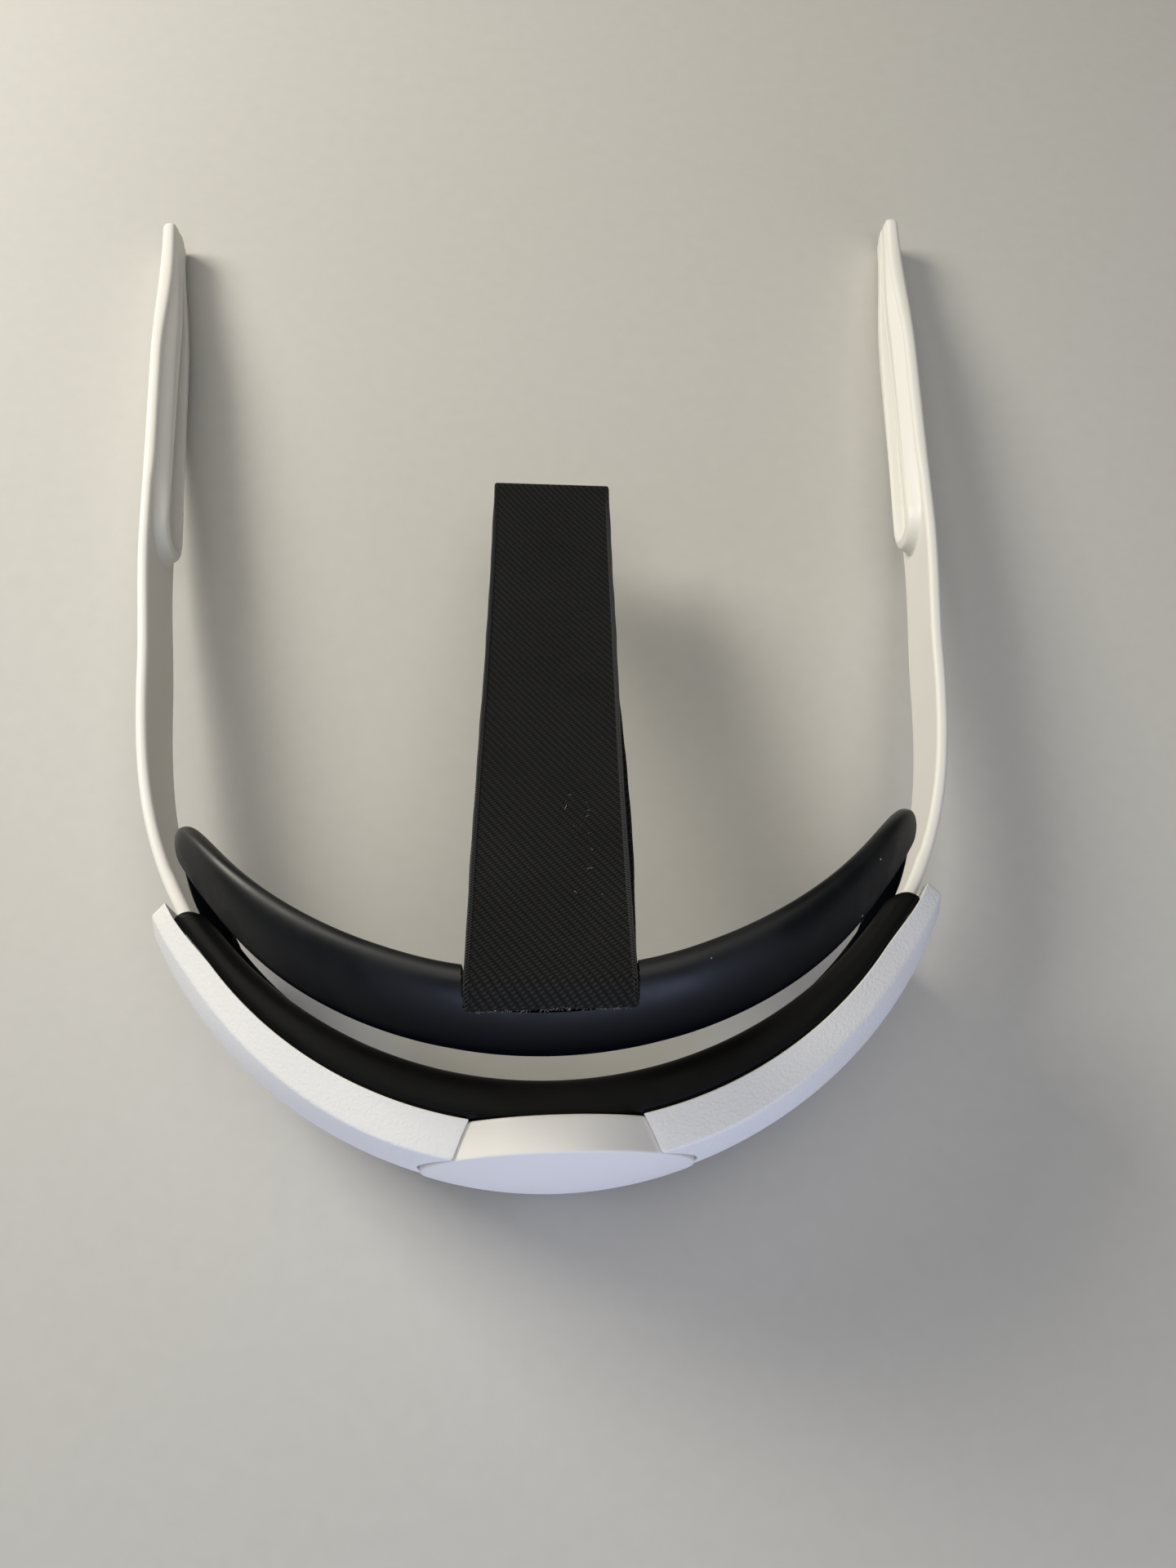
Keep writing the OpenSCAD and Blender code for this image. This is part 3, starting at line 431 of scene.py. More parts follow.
cover = dict(
    halfAngle=60.4, taper=(-0.5, 3.4), taperPower=1.9, inside=69.9, outside=75.7, beadMiddle=72.2, beadHalf=3.5,
    beadTop=21.3, beadRise=(1.9, 3.1), beadPower=0.82, beadSweep=216.0, beadFoot=12.0, lipDrop=(0.2, 1.2),
    low=-20.0, toeRound=1.2,
    wall=0.85, hollowTop=16.6, sole=1.6, wheelGap=74.2, wheelRadius=25.1, endRound=(0.5, 3.4),
    endInset=(0.3, 3.0), endDrop=0.5, plateAngle=2.0, tipBack=1.2, bodyShare=1 - 1.2 / 58, channelIn=79.4,
    channelHalf=9.55, stations=240,
)


def endTaper(angle):  # the bead and the pad narrow toward their ends from the head's side
    s = cover
    return lerp(*s["taper"], (np.degrees(np.abs(angle)) / s["halfAngle"]) ** s["taperPower"])


def coverProfile():
    # bead as a superellipse from the shell's side over the top and under its lip, then wall and foot
    s = cover
    g = np.radians(np.linspace(0, s["beadSweep"], 56))
    bead = columns(
        s["beadMiddle"] + s["beadHalf"] * power(np.cos(g), s["beadPower"]),
        s["beadTop"] + np.where(g < math.pi / 2, *s["beadRise"]) * (power(np.sin(g), s["beadPower"]) - 1),
    )
    pull, wallTop = ([s["inside"], bead[-1, 1] - drop] for drop in s["lipDrop"])
    under = bezier(bead[-1], pull, wallTop, 5)[1:]
    foot = [s["inside"], s["low"] + s["toeRound"]]
    wall = straight(wallTop, foot, 24)
    toe = bezier(foot, [s["inside"], s["low"]], [s["inside"] + s["toeRound"], s["low"]], 7)[1:]
    sole = straight(toe[-1], [s["outside"], s["low"]], 8)
    return join(bead, under, wall, toe, sole)


def innerCoverPoints():
    # each row is a hoop of profile and hollow turned to one bearing; toward an end the profile shrinks
    # along a quarter circle, most of all on the head's side of the bead
    s = cover
    outer = coverProfile()
    count = len(outer)
    tangent = np.gradient(outer, axis=0)
    normal = unit(columns(tangent[:, 1], -tangent[:, 0]))
    top, low = s["hollowTop"], s["low"] + s["sole"]
    back = s["inside"] + s["wall"]
    hollow = alongLine([[s["outside"], top], [back, top], [back, low], [s["outside"], low]], count)
    last = math.radians(s["halfAngle"])
    plate = math.radians(s["halfAngle"] - s["plateAngle"])
    slotR = channelRadius(plate, s["channelIn"])
    slot = slotLine(s["outside"], slotR, s["channelHalf"], top, low, count)
    nearHead = np.clip((s["outside"] - outer[:, 0]) / (2 * s["beadHalf"]), 0, 1) * (outer[:, 1] > s["beadFoot"])
    roundR, insetR = lerp(*s["endRound"], nearHead), lerp(*s["endInset"], nearHead)
    rolled = columns(insetR, np.full(count, -s["endDrop"]))  # the bead's end is rounded in plan
    shrink = np.where(nearHead[:, None] > 0, rolled, -insetR[:, None] * normal)

    def hoop(section, inner, angle):
        loop = join(section, inner[::-1])
        bearing = join(np.broadcast_to(angle, count), np.full(count, np.max(angle)))
        outward = part(loop[:, 0], s["inside"], s["outside"])
        reach = loop[:, 0] + lerp(endTaper(bearing), endFlare(np.abs(bearing)), outward)
        return columns(reach * np.sin(bearing), -reach * np.cos(bearing), loop[:, 1])

    tip = []
    for t in np.linspace(0, math.pi / 2, 12):  # rounded end, from the end face back to the full section
        angle = last - roundR * (1 - math.cos(t)) / outer[:, 0]
        tip.append(hoop(outer + (1 - math.sin(t)) * shrink, slot, angle))
    tip.append(hoop(outer, slot, plate - math.radians(s["tipBack"])))
    mirror = np.array([-1, 1, 1])
    body = [hoop(outer, hollow, a) for a in np.linspace(-plate, plate, s["stations"]) * s["bodyShare"]]
    points = np.stack([p * mirror for p in tip] + body + tip[::-1])
    # the bead stops short of the wheel
    inWell = (np.hypot(points[..., 0], points[..., 2]) < s["wheelRadius"]) & (points[..., 1] < -s["wheelGap"])
    points[..., 1] = np.where(inWell, -s["wheelGap"], points[..., 1])
    return points


innerCover = makePiece("innerCover", innerCoverPoints())
dress(innerCover, "cradle", finish["coverBlack"], "black_cover", "inner_cover")
print("inner cover:", len(innerCover.data.polygons), "faces")


# Soft ring: a rounded section carried over the head along the loop and back under it along the pad

ring = dict(
    # path, whose rise goes from 0 at a corner to 1 at the top of the loop or the middle of the pad
    loopRadius=76.0, loopForward=14.2, loopHalfAngle=52.5, loopHeight=41.2, loopLean=27.0, cornerHeight=25.0,
    cornerLean=0.4, risePower=0.42, nearRise=0.8, legSlant=5.5, slantRise=0.3, legOut=1.9, outRise=(0.9, 0.25),
    padRadius=69.3, padMiddle=-4.9, padTuck=0.4, tuckRise=(0.6, 1.0), padFloor=(-30.0, 9.0), floorTurn=(33.0, 43.0),
    # width of the band
    loopHalf=9.3, padHalf=21.4, cornerHalf=5.6, cornerStrip=3.2, holeRise=(0.05, 0.9), holePower=1.6,
    legFill=2.8, fillAt=0.32, fillWide=0.14,
    # thickness of the band
    loopThick=4.2, padThick=1.0, plate=1.6, plateFrom=(0.36, 1.0), cornerSwell=1.5, swellFrom=(0.6, 1.0),
    legSwell=0.95, legRise=0.25, swellEnd=(0.42, 0.52), widePower=0.93, thickPower=0.86,
    grooveAt=330.0, grooveWide=1.8, grooveDeep=0.16, grooveSpan=12.0,
    # notch for the strap's bar
    notchHalf=13.2, notchAt=-0.45, notchLow=-0.2, notchRound=0.1, notchSpan=1.2, notchFan=0.41, fanRun=(1.0, 11.0),
    skinFrom=3.4, skinTop=4.2,
)
loopHalfTurn = math.radians(ring["loopHalfAngle"])
cornerX = ring["loopRadius"] * math.sin(loopHalfTurn)
cornerY = ring["loopForward"] - ring["loopRadius"] * math.cos(loopHalfTurn)
cornerRadius, cornerAngle = math.hypot(cornerX, cornerY), math.atan2(cornerX, -cornerY)


def ringTurns():
    # turn angles from the right corner over the top: even in height near a corner, even in angle elsewhere
    s = ring
    near = np.arcsin(np.linspace(0, s["nearRise"], 44) ** (1 / s["risePower"]))
    quarter = join(near, np.linspace(near[-1], math.pi / 2, 64)[1:])
    notchX = s["notchHalf"] + np.linspace(-s["notchSpan"], s["notchSpan"], 17)
    notch = np.arccos(np.arcsin(notchX / s["loopRadius"]) / loopHalfTurn)
    upper = np.unique(join(quarter, notch).round(6))
    upper = join(upper, math.pi - upper[-2::-1])
    lower = join(quarter, math.pi - quarter[-2::-1]) + math.pi
    return join(upper[:-1], lower[:-1])


def ringSurface():
    # loop: an arc about a point ahead of the centre, its height a power of the turn's sine; pad: an arc about
    # the centre; across both a superellipse of width and thickness that change with the rise
    s = ring
    t = ringTurns()[:, None]
    sine, c = np.sin(t), np.cos(t)
    onLoop = sine >= 0
    rise = np.abs(sine) ** s["risePower"]
    half = loopHalfTurn
    reach = lerp(cornerRadius, s["padRadius"], rise)
    legBack = math.radians(s["legSlant"]) * ease(rise / s["slantRise"])  # the legs slant back into the cover
    leg = (cornerAngle - legBack) * c
    x = np.where(onLoop, s["loopRadius"] * np.sin(half * c), reach * np.sin(leg))
    y = np.where(onLoop, s["loopForward"] - s["loopRadius"] * np.cos(half * c), -reach * np.cos(leg))
    z = lerp(s["cornerHeight"], np.where(onLoop, s["loopHeight"], s["padMiddle"]), rise)
    bearing = np.where(onLoop, lerp(cornerAngle, half, rise) * c, leg)
    # the corners stand out from the head toward the arms, and the pad follows the cover's wall
    loopOut, padOut = s["outRise"]
    tuck = endTaper(leg) + s["padTuck"] * (1 - between(rise, *s["tuckRise"]))
    legTuck = lerp(s["legOut"], tuck, ease(rise / padOut))
    out = np.where(onLoop, s["legOut"] * (1 - ease(rise / loopOut)), legTuck)
    x, y = x + out * np.sin(bearing), y - out * np.cos(bearing)
    leanShare = np.where(onLoop, lerp(s["cornerLean"], 1, rise), s["cornerLean"] * (1 - rise) ** 3)
    lean = np.radians(s["loopLean"]) * leanShare

    # the band is full width along the loop and the pad, and a narrow strip where they meet at a corner
    full = np.where(onLoop, s["loopHalf"], s["padHalf"])
    outerEdge = lerp(s["cornerHalf"], full, np.where(onLoop, rise, ease(rise) ** 2))
    holeShare = np.where(onLoop, between(rise, *s["holeRise"]), rise ** s["holePower"])
    holeEdge = lerp(s["cornerStrip"] - s["cornerHalf"], full, holeShare)
    web = s["legFill"] * bell(rise, s["fillAt"], s["fillWide"])  # closes the corner's V
    holeEdge = holeEdge + np.where(onLoop, 0, web)
    middle, wide = (outerEdge - holeEdge) / 2, (outerEdge + holeEdge) / 2
    meanThick = (s["loopThick"] + s["padThick"]) / 2
    thick = lerp(meanThick, np.where(onLoop, s["loopThick"], s["padThick"]), rise) / 2
    behind = thick + s["plate"] * between(sine, *s["plateFrom"])  # the stiff plate thickens the rear face
    # the head side swells out toward the corners, and down each leg beside its screw
    downLeg = lerp(s["cornerSwell"], s["legSwell"], ease(rise / s["legRise"]))
    downLeg = downLeg * (1 - between(rise, *s["swellEnd"]))
    front = thick + np.where(onLoop, s["cornerSwell"] * between(np.abs(c), *s["swellFrom"]), downLeg)

    # rounded section, with a parting line along the rim's inner edge
    first, last = s["grooveAt"] - s["grooveSpan"], s["grooveAt"] + s["grooveSpan"]
    g = [np.linspace(0, first, 140), np.linspace(first, last, 41)[1:], np.linspace(last, 360, 9)[1:-1]]
    g = np.concatenate(g)
    groove = bell(g, s["grooveAt"], s["grooveWide"])
    g = np.radians(g)[None, :]
    w = middle + wide * power(np.cos(g), s["widePower"])
    n = np.where(np.sin(g) >= 0, behind, front) * power(np.sin(g), s["thickPower"])
    n = n + s["grooveDeep"] * groove

    upX, upY, upZ = -np.sin(bearing) * np.sin(lean), np.cos(bearing) * np.sin(lean), np.cos(lean)
    outX, outY, outZ = np.sin(bearing) * np.cos(lean), -np.cos(bearing) * np.cos(lean), np.sin(lean)

    # the strap's bar sits in a notch cut into the loop's upper edge, behind a thin skin of the rear face
    overHead = sine > 0.5
    beside = np.abs(x + n * outX - s["notchAt"]) - s["notchHalf"]
    inNotch = (1 - between(beside, -s["notchRound"], s["notchRound"])) * overHead
    notchFloor = np.where(n > s["skinFrom"], s["skinTop"], s["notchLow"])
    w = np.minimum(w, lerp(outerEdge + 1, notchFloor, inNotch))

    fan = lerp(s["notchFan"], 1, between(beside, *s["fanRun"]))  # upright walls beside the strap
    high, flat = w * sine, w * c * np.where(overHead, fan, 1)
    px, py, pz = x + high * upX + n * outX, y + high * upY + n * outY, z + high * upZ + n * outZ
    a = flat / np.hypot(px, py)  # the sideways share is wrapped round the centre
    at = columns(px * np.cos(a) - py * np.sin(a), px * np.sin(a) + py * np.cos(a), pz)
    # the pad grows shallower beside its legs, so that the gap over the bead runs out to a point
    turned = np.degrees(np.abs(np.arctan2(at[..., 0], -at[..., 1])))
    shallow = lerp(*s["padFloor"], between(turned, *s["floorTurn"]))
    at[..., 2] = np.where(sine < 0, np.maximum(pz, shallow), pz)
    facing = np.stack(np.broadcast_arrays(0.5 + 0.5 * np.sin(g), 0.5 + 0.5 * np.cos(g), px)[:2], -1)
    return at, facing


ringAt, ringFacing = ringSurface()
ringFaces = gridFaces(*ringAt.shape[:2], wrapRows=True, wrapCols=True)
softRing = makePiece("softRing", ringAt, ringFaces, ringFacing, crease=60)
dress(softRing, "cradle", finish["ringBlack"], "soft_rubber", "halo_pad", "halo_plate")
print("soft ring:", len(softRing.data.polygons), "faces")


# Fit wheel: one profile (radius, distance behind the centre) turned about the wheel's axis

wheel = dict(
    radius=24.7, rimIn=74.65, rimOut=80.65, domeTop=84.6, rimWall=2.4, webIn=79.25, edgeRound=0.42, lipRound=0.5,
    rimRound=0.2, poleAngle=0.0005, hub=0.05, steps=192,
)


def wheelPoints():
    # dome as an arc of a circle, rounded edge, straight rim, rounded lip and hollow back, turned in even steps
    s = wheel
    rise = s["domeTop"] - s["rimOut"]
    domeRadius = (s["radius"]**2 + rise**2) / (2 * rise)
    edgeAngle = math.asin(s["radius"] / domeRadius)
    arc = np.linspace(s["poleAngle"], edgeAngle - s["edgeRound"] / domeRadius, 40)
    dome = columns(domeRadius * np.sin(arc), s["domeTop"] - domeRadius * (1 - np.cos(arc)))
    corner = [s["radius"], s["rimOut"]]
    edge = bezier(dome[-1], corner, [s["radius"], s["rimOut"] - s["edgeRound"]], 9)[1:]
    rim = straight(edge[-1], [s["radius"], s["rimIn"] + s["lipRound"]], 10)
    lip = bezier(rim[-1], [s["radius"], s["rimIn"]], [s["radius"] - s["lipRound"], s["rimIn"]], 7)[1:]
    inner, bevel = s["radius"] - s["rimWall"], s["rimRound"]
    under = [[inner + bevel, s["rimIn"]], [inner, s["rimIn"] + bevel], [inner, s["webIn"]], [s["hub"], s["webIn"]]]
    profile = join(dome, edge, rim, lip, under)
    a = np.linspace(0, 2 * math.pi, s["steps"], endpoint=False)[None, :]
    r, back = profile[:, :1], profile[:, 1:]
    return columns(r * np.cos(a), -back + 0 * a, r * np.sin(a))


fitWheel = makePiece("fitWheel", wheelPoints())
dress(fitWheel, "wheel", finish["wheelWhite"], "white_wheel", "wheel_knob", "wheel_cap")
print("fit wheel:", len(fitWheel.data.polygons), "faces")


# Side arms: a rounded band carried along the guide's arc, a gentle bend and a straight, with a raised
# pod and its leaf-shaped seat worked into the inner face

arm = dict(
    # path
    guideRadius=81.0, bandRoot=34.0, bendStart=66.0, bendRadius=130.0, bowIn=1.4, bowRun=80.0, splay=4.2,
    reach=156.7, podLength=102.0, podLead=4.0, tipRun=6.0, tipPower=1.7,
    # band, whose share along the pod goes from 0 to 1 at the tip
    thick=2.6, slim=2.4, slimTurn=(66.0, 64.0), halfHeight=9.25, edgeRound=1.15, edgeMost=0.45, capPower=0.8,
    tipFrom=0.972, tipLong=0.02801, tipHigh=0.55, tipBase=0.45, tipLift=0.4, tipOut=0.9,
    # pod
    podThick=5.0, podHalf=9.0, podGrow=0.2, tipHalf=5.45, tipFall=(0.5, 0.94), tipThick=3.4, tipThin=(0.62, 1.0),
    bevel=3.6, bevelLeast=0.3, bevelEdge=0.6, bevelRun=24.0, bevelSoft=(0.9, 0.25), flatLeast=0.4, lobe=6.5,
    lobeBevel=1.7,
    # seat
    rim=1.0, rimLip=0.3, lipAt=-0.45, lipWide=0.5, seatDeep=2.0, seatWall=1.0, seatLift=2.6, seatLeast=0.15,
    shallowest=0.3, seatSlim=0.22, seatTaper=(0.12, 0.92), seatBack=0.6, seatTrim=0.2, seatEnd=0.80,
    seatEndRun=0.13,
)


def armPath():
    # arc of the guide, arc of the bend, then a straight to the tip, with the distance along the pod
    s = arm
    guide = np.radians(np.linspace(s["bandRoot"], s["bendStart"], 60))
    bend = np.radians(np.linspace(s["bendStart"], 90 - s["splay"], 60))[1:]
    splay = math.radians(s["splay"])

    def spot(angle, radius):
        return columns(radius * np.sin(angle), -radius * np.cos(angle))

    guideAt = np.array([0, guideForward]) + spot(guide, s["guideRadius"])
    bendCentre = guideAt[-1] - spot(guide[-1:], s["bendRadius"])[0]
    bendAt = bendCentre + spot(bend, s["bendRadius"])
    length = (s["reach"] - bendAt[-1, 1]) / math.cos(splay)
    podAt = length - s["podLength"] / math.cos(splay)
    lead, tipAt = podAt - s["podLead"], length - s["tipRun"]
    tip = length - s["tipRun"] * np.linspace(1, 0, 40)[1:] ** s["tipPower"]
    run = join(np.linspace(0, lead, 24)[1:], np.linspace(lead, tipAt, 300)[1:], tip)
    straightAt = bendAt[-1] + run[:, None] * np.array([math.sin(splay), math.cos(splay)])
    at = join(guideAt, bendAt, straightAt)
    bow = np.clip((at[:, 1] - guideAt[-1, 1]) / s["bowRun"], 0, 1)
    at[:, 0] -= s["bowIn"] * np.sin(math.pi * bow) ** 2  # drawn in a little between the shell and the pod
    angle = join(guide, bend, np.full(len(run), math.pi / 2 - splay))
    along = join(np.full(len(guide) + len(bend), -1e3), run - podAt)
    return at, angle, along, length - podAt


def armSurface(side):
    # section of inner face, outer face and two half ellipses; the inner face is the band's thickness plus
    # the pod's plateau with sloping sides, less a seat that sinks inside a leaf-shaped line
    s = arm
    at, angle, along, podRun = armPath()
    along = along[:, None]
    v = np.clip(along / podRun, 0, 1)
    tipRound = np.sqrt(np.maximum(0.0, 1 - (np.maximum(0, v - s["tipFrom"]) / s["tipLong"]) ** 2))
    bandThick = lerp(s["slim"], s["thick"], between(angle[:, None], *np.radians(s["slimTurn"])))
    podHigh = lerp(s["halfHeight"], s["podHalf"], ease(v / s["podGrow"]))
    h = lerp(podHigh, s["tipHalf"], between(v, *s["tipFall"])) * lerp(s["tipHigh"], 1, tipRound)
    outer = s["slim"] / 2 - (1 - tipRound) * s["tipOut"]
    base = bandThick * lerp(s["tipBase"], 1, tipRound)
    podThick = lerp(s["podThick"], s["tipThick"], between(v, *s["tipThin"]))
    podLift = (podThick - s["slim"]) * lerp(s["tipLift"], 1, tipRound)
    edge = np.minimum(s["edgeRound"], s["edgeMost"] * h)

    # inner face, bottom to top; the pod's plateau ends in a round lobe at the rear
    z = np.linspace(-1, 1, 72)[None, :] * (h - edge)
    plateau = np.maximum(h - s["bevel"] * np.clip(h / s["podHalf"], s["bevelLeast"], 1), s["flatLeast"])
    lobe = np.maximum(0, (s["lobe"] - along) / s["lobe"])
    outside = np.maximum(0, np.hypot(lobe, z / plateau) - 1) * plateau
    past = ease(along / s["bevelRun"])
    bevelWide = lerp(s["lobeBevel"], s["bevel"] - edge * s["bevelEdge"], past)
    lift = np.clip(1 - outside / bevelWide, 0, 1)
    lift = np.where(along < -s["podLead"], 0, lerp(lift, ease(lift), lerp(*s["bevelSoft"], past)))

    # seat and its raised lip
    narrow = lerp(1.0, s["seatSlim"], part(v, *s["seatTaper"]))
    seatHalf = np.maximum((plateau - s["rim"]) * narrow, s["seatLeast"])
    seatLobe = np.maximum(0, (s["lobe"] + s["seatBack"] - along) / (s["lobe"] - s["rim"] - s["seatTrim"]))
    seatTip = np.maximum(0, (v - s["seatEnd"]) / s["seatEndRun"])
    inside = (1 - np.sqrt(seatLobe**2 + (z / seatHalf) ** 2 + seatTip**2)) * seatHalf
    sunk = ease(inside / s["seatWall"]) * s["seatDeep"] * np.clip(podLift / s["seatLift"], s["shallowest"], 1)
    lip = s["rimLip"] * bell(inside, s["lipAt"], s["lipWide"]) * lift
    depth = base + podLift * lift + lip * (v > 0) - sunk * (lift > 0.5)
    innerFace = columns(outer - depth, z)

    # edges are half ellipses, and the outer face is flat
    g = np.linspace(0, math.pi, 18)[1:-1][None, :]
    rimDepth = depth[:, -1:] / 2
    capX = outer - rimDepth - rimDepth * power(np.cos(g), s["capPower"])
    capZ = h - edge + edge * power(np.sin(g), s["capPower"])
    topEdge = columns(capX, capZ)
    zOut = np.linspace(1, -1, 36)[None, :] * (h - edge)
    outFace = columns(outer + 0 * zOut, zOut)
    section = np.concatenate([innerFace, topEdge, outFace, topEdge[:, ::-1] * [1, -1]], 1)
    normal = columns(np.sin(angle), -np.cos(angle))[:, None, :]
    flat = at[:, None, :] + section[..., :1] * normal
    return np.concatenate([side * flat[..., :1], flat[..., 1:], section[..., 1:]], -1)


for side, label in ((-1, "left"), (1, "right")):
    armAt = armSurface(side)
    rows, cols = armAt.shape[:2]
    armPoints = join(armAt.reshape(-1, 3), armAt[[0, -1]].mean(1))
    armFaces = gridFaces(rows, cols, wrapCols=True).tolist()
    j = np.arange(cols)
    for row, centre in ((0, rows * cols), (rows - 1, rows * cols + 1)):  # a fan closes each end
        armFaces += columns(row * cols + j, row * cols + (j + 1) % cols, np.full(cols, centre)).tolist()
    sideArm = makePiece(label + "Arm", armPoints, np.array(armFaces, object))
    dress(sideArm, label + "_side", finish["armWhite"], "white_arm", label + "_arm", label + "_clip")
    print(label, "arm:", len(sideArm.data.polygons), "faces")


# Top strap: webbing sewn into an eye round the bar, laid forward, folded and brought back over itself

strap = dict(
    # path
    reach=123.0, drop=37.0, dropPower=1.28, pitch=2.4, barY=-59.984, barZ=44.564, barRadius=1.5, barGap=0.3,
    eyeSweep=(405.0, 92.0), eyeThin=0.6, eyeThinAt=180.0, eyeTight=0.15, foldSweep=84.0, tail=3.7, tailDroop=0.3,
    tailShare=0.045, foldBack=(0.65, 2.1), foldPower=3, step=0.5,
    # sideways
    width=(26.2, 25.4), sideways=-0.45, skew=2.85, skewPower=1.15, underShift=0.9, underAt=0.28, underWide=0.2,
    waver=(0.06, 9.0, 2.0), wobble=((0.04, 0.21, 0.0), (0.03, 0.53, 1.0)), cornerCut=1.1, cornerSlope=0.9,
    # section
    thick=1.5, edgeSoft=0.7, cup=0.22,
)
eyeRadius = strap["barRadius"] + strap["barGap"] + strap["thick"] / 2


def strapLower(u):  # lower layer (front, up) from the bar down to the fold, with its direction and its normal
    s = strap
    sag = s["drop"] * (1 - (1 - u) ** s["dropPower"])
    line = columns(s["barY"] + s["reach"] * u, s["barZ"] + eyeRadius - sag)
    slope = unit(np.gradient(line, axis=0))
    return line, slope, columns(-slope[:, 1], slope[:, 0])


def strapPath():
    # eye, lower layer, fold, upper layer and free end as one line (front, up), evenly spaced, with its normal,
    # its share of the way to the fold, its layer and its share of the full thickness
    s = strap
    phi = np.linspace(*s["eyeSweep"], 60)
    slim = 1 - between(phi, s["eyeThinAt"], s["eyeSweep"][1])  # the eye is pressed thinner than the open webbing
    tight = eyeRadius - slim * (1 - s["eyeThin"]) * s["thick"] / 2 - s["eyeTight"] * slim
    turned = columns(np.cos(np.radians(phi)), np.sin(np.radians(phi)))
    eye = np.array([s["barY"], s["barZ"]]) + tight[:, None] * turned
    u = np.linspace(0, 1, 400)
    lower, slope, rise = strapLower(u)
    upper = lower + s["pitch"] * rise
    a = np.radians(np.linspace(-s["foldSweep"], s["foldSweep"], 24))[:, None]
    fold = lower[-1] + s["pitch"] / 2 * (rise[-1] + np.cos(a) * slope[-1] + np.sin(a) * rise[-1])
    k = np.linspace(0, 1, 14)[1:, None]
    tail = upper[0] + np.hstack([-s["tail"] * k, -s["tailDroop"] * s["tail"] * k * k])
    line = join(eye, lower, fold, upper[::-1], tail)
    share = join(0 * phi, u, np.ones(len(fold)), u[::-1], -s["tailShare"] * k[:, 0])
    layer = join(0 * phi, 0 * u, np.linspace(0, 1, len(fold)), 0 * u + 1, np.ones(len(tail)))
    full = 1 - (1 - s["eyeThin"]) * join(slim, np.zeros(len(line) - len(eye)))
    run = distance(line)
    at = np.linspace(0, run[-1], int(run[-1] / s["step"]))
    y, z, share, layer, full = (np.interp(at, run, q) for q in (*line.T, share, layer, full))
    line = columns(y, z)
    tangent = unit(np.gradient(line, axis=0))
    return at, line, columns(-tangent[:, 1], tangent[:, 0]), share, layer, full


def strapShift(share, layer):  # sideways drift of the webbing, and of its lower layer under the upper one
    s = strap
    u = np.clip(share, 0, 1)
    under = s["underShift"] * bell(u, s["underAt"], s["underWide"]) * (1 - layer)
    size, turns, lag = s["waver"]
    return s["sideways"] + s["skew"] * u ** s["skewPower"] + under + size * np.sin(turns * u + lag * layer)


def foldBack(share, side):  # the fold lies askew, further back on one edge than on the other
    return lerp(*strap["foldBack"], (side + 1) / 2) * np.clip(share, 0, 1) ** strap["foldPower"]


def strapSurface():
    # flat section with half-round edges along the path's normal, narrowed, shifted and cupped along its way
    s = strap
    at, line, normal, share, layer, full = strapPath()
    halfW, halfT = s["width"][0] / 2, s["thick"] / 2
    narrow = (lerp(*s["width"], np.clip(share, 0, 1)) / s["width"][0])[:, None]
    soft = halfT * s["edgeSoft"]
    rim = halfW - soft
    flat = np.linspace(-1, 1, 40) * rim
    g = np.radians(np.linspace(-90, 90, 11)[1:-1])
    across = join(flat, rim + soft * np.cos(g), flat[::-1], -rim - soft * np.cos(g))
    lift = join(0 * flat - halfT, halfT * np.sin(g), 0 * flat + halfT, -halfT * np.sin(g))
    left = (at[-1] - at)[:, None]  # distance from the free end, whose corners are clipped
    limit = halfW - np.maximum(0, s["cornerCut"] - left) * s["cornerSlope"]
    across = np.clip(across[None, :], -limit, limit)
    wobble = sum(size * np.sin(at * rate + lag)[:, None] for size, rate, lag in s["wobble"])
    x = across * (narrow + wobble / halfW) + strapShift(share, layer)[:, None]
    cup = s["cup"] * (across / halfW) ** 2 * (layer * np.clip(1 - share, 0, 1))[:, None]
    out = (lift[None, :] * full[:, None] - cup)[..., None]
    plane = line[:, None, :] + out * normal[:, None, :]
    plane[..., 0] -= foldBack(share[:, None], across / halfW)
    uv = np.stack(np.broadcast_arrays(across, at[:, None]), -1) * mm
    return np.concatenate([x[..., None], plane], -1), uv, at


strapAt, strapUv, strapRun = strapSurface()
topStrap = makePiece("topStrap", strapAt, uv=strapUv, crease=60)
dress(topStrap, "strap", finish["webbing"], "webbing", "top_strap")
print("top strap:", len(topStrap.data.polygons), "faces")


def yarnTube(centre, radius, sides):
    # round tube along centre points (yarns, stations, 3), thinning to its ends
    along = unit(np.gradient(centre, axis=1))
    aside = np.array([0.31, 0.2, 0.93])  # any direction that no yarn follows
    first = unit(np.cross(along, aside))
    second = np.cross(along, first)
    a = np.linspace(0, 2 * math.pi, sides, endpoint=False)
    ringOf = np.cos(a)[:, None] * first[:, :, None, :] + np.sin(a)[:, None] * second[:, :, None, :]
    k = np.linspace(-1, 1, centre.shape[1])
    taper = (1 - 0.85 * np.abs(k) ** 6)[None, :, None, None]
    return centre[:, :, None, :] + radius * taper * ringOf


def yarnFaces(count, stations, sides):
    one = tubeFaces(stations, sides)
    return (one[None] + (np.arange(count) * stations * sides)[:, None, None]).reshape(-1, 4)


# Edge yarns: a chain of small loops along both edges of the upper layer

chain = dict(
    pitch=1.05, inset=0.55, swing=0.34, radius=0.15, sides=6, perLoop=10, gaps=(0.2, 0.4), proud=0.02, bob=0.10,
    follow=0.2,
)


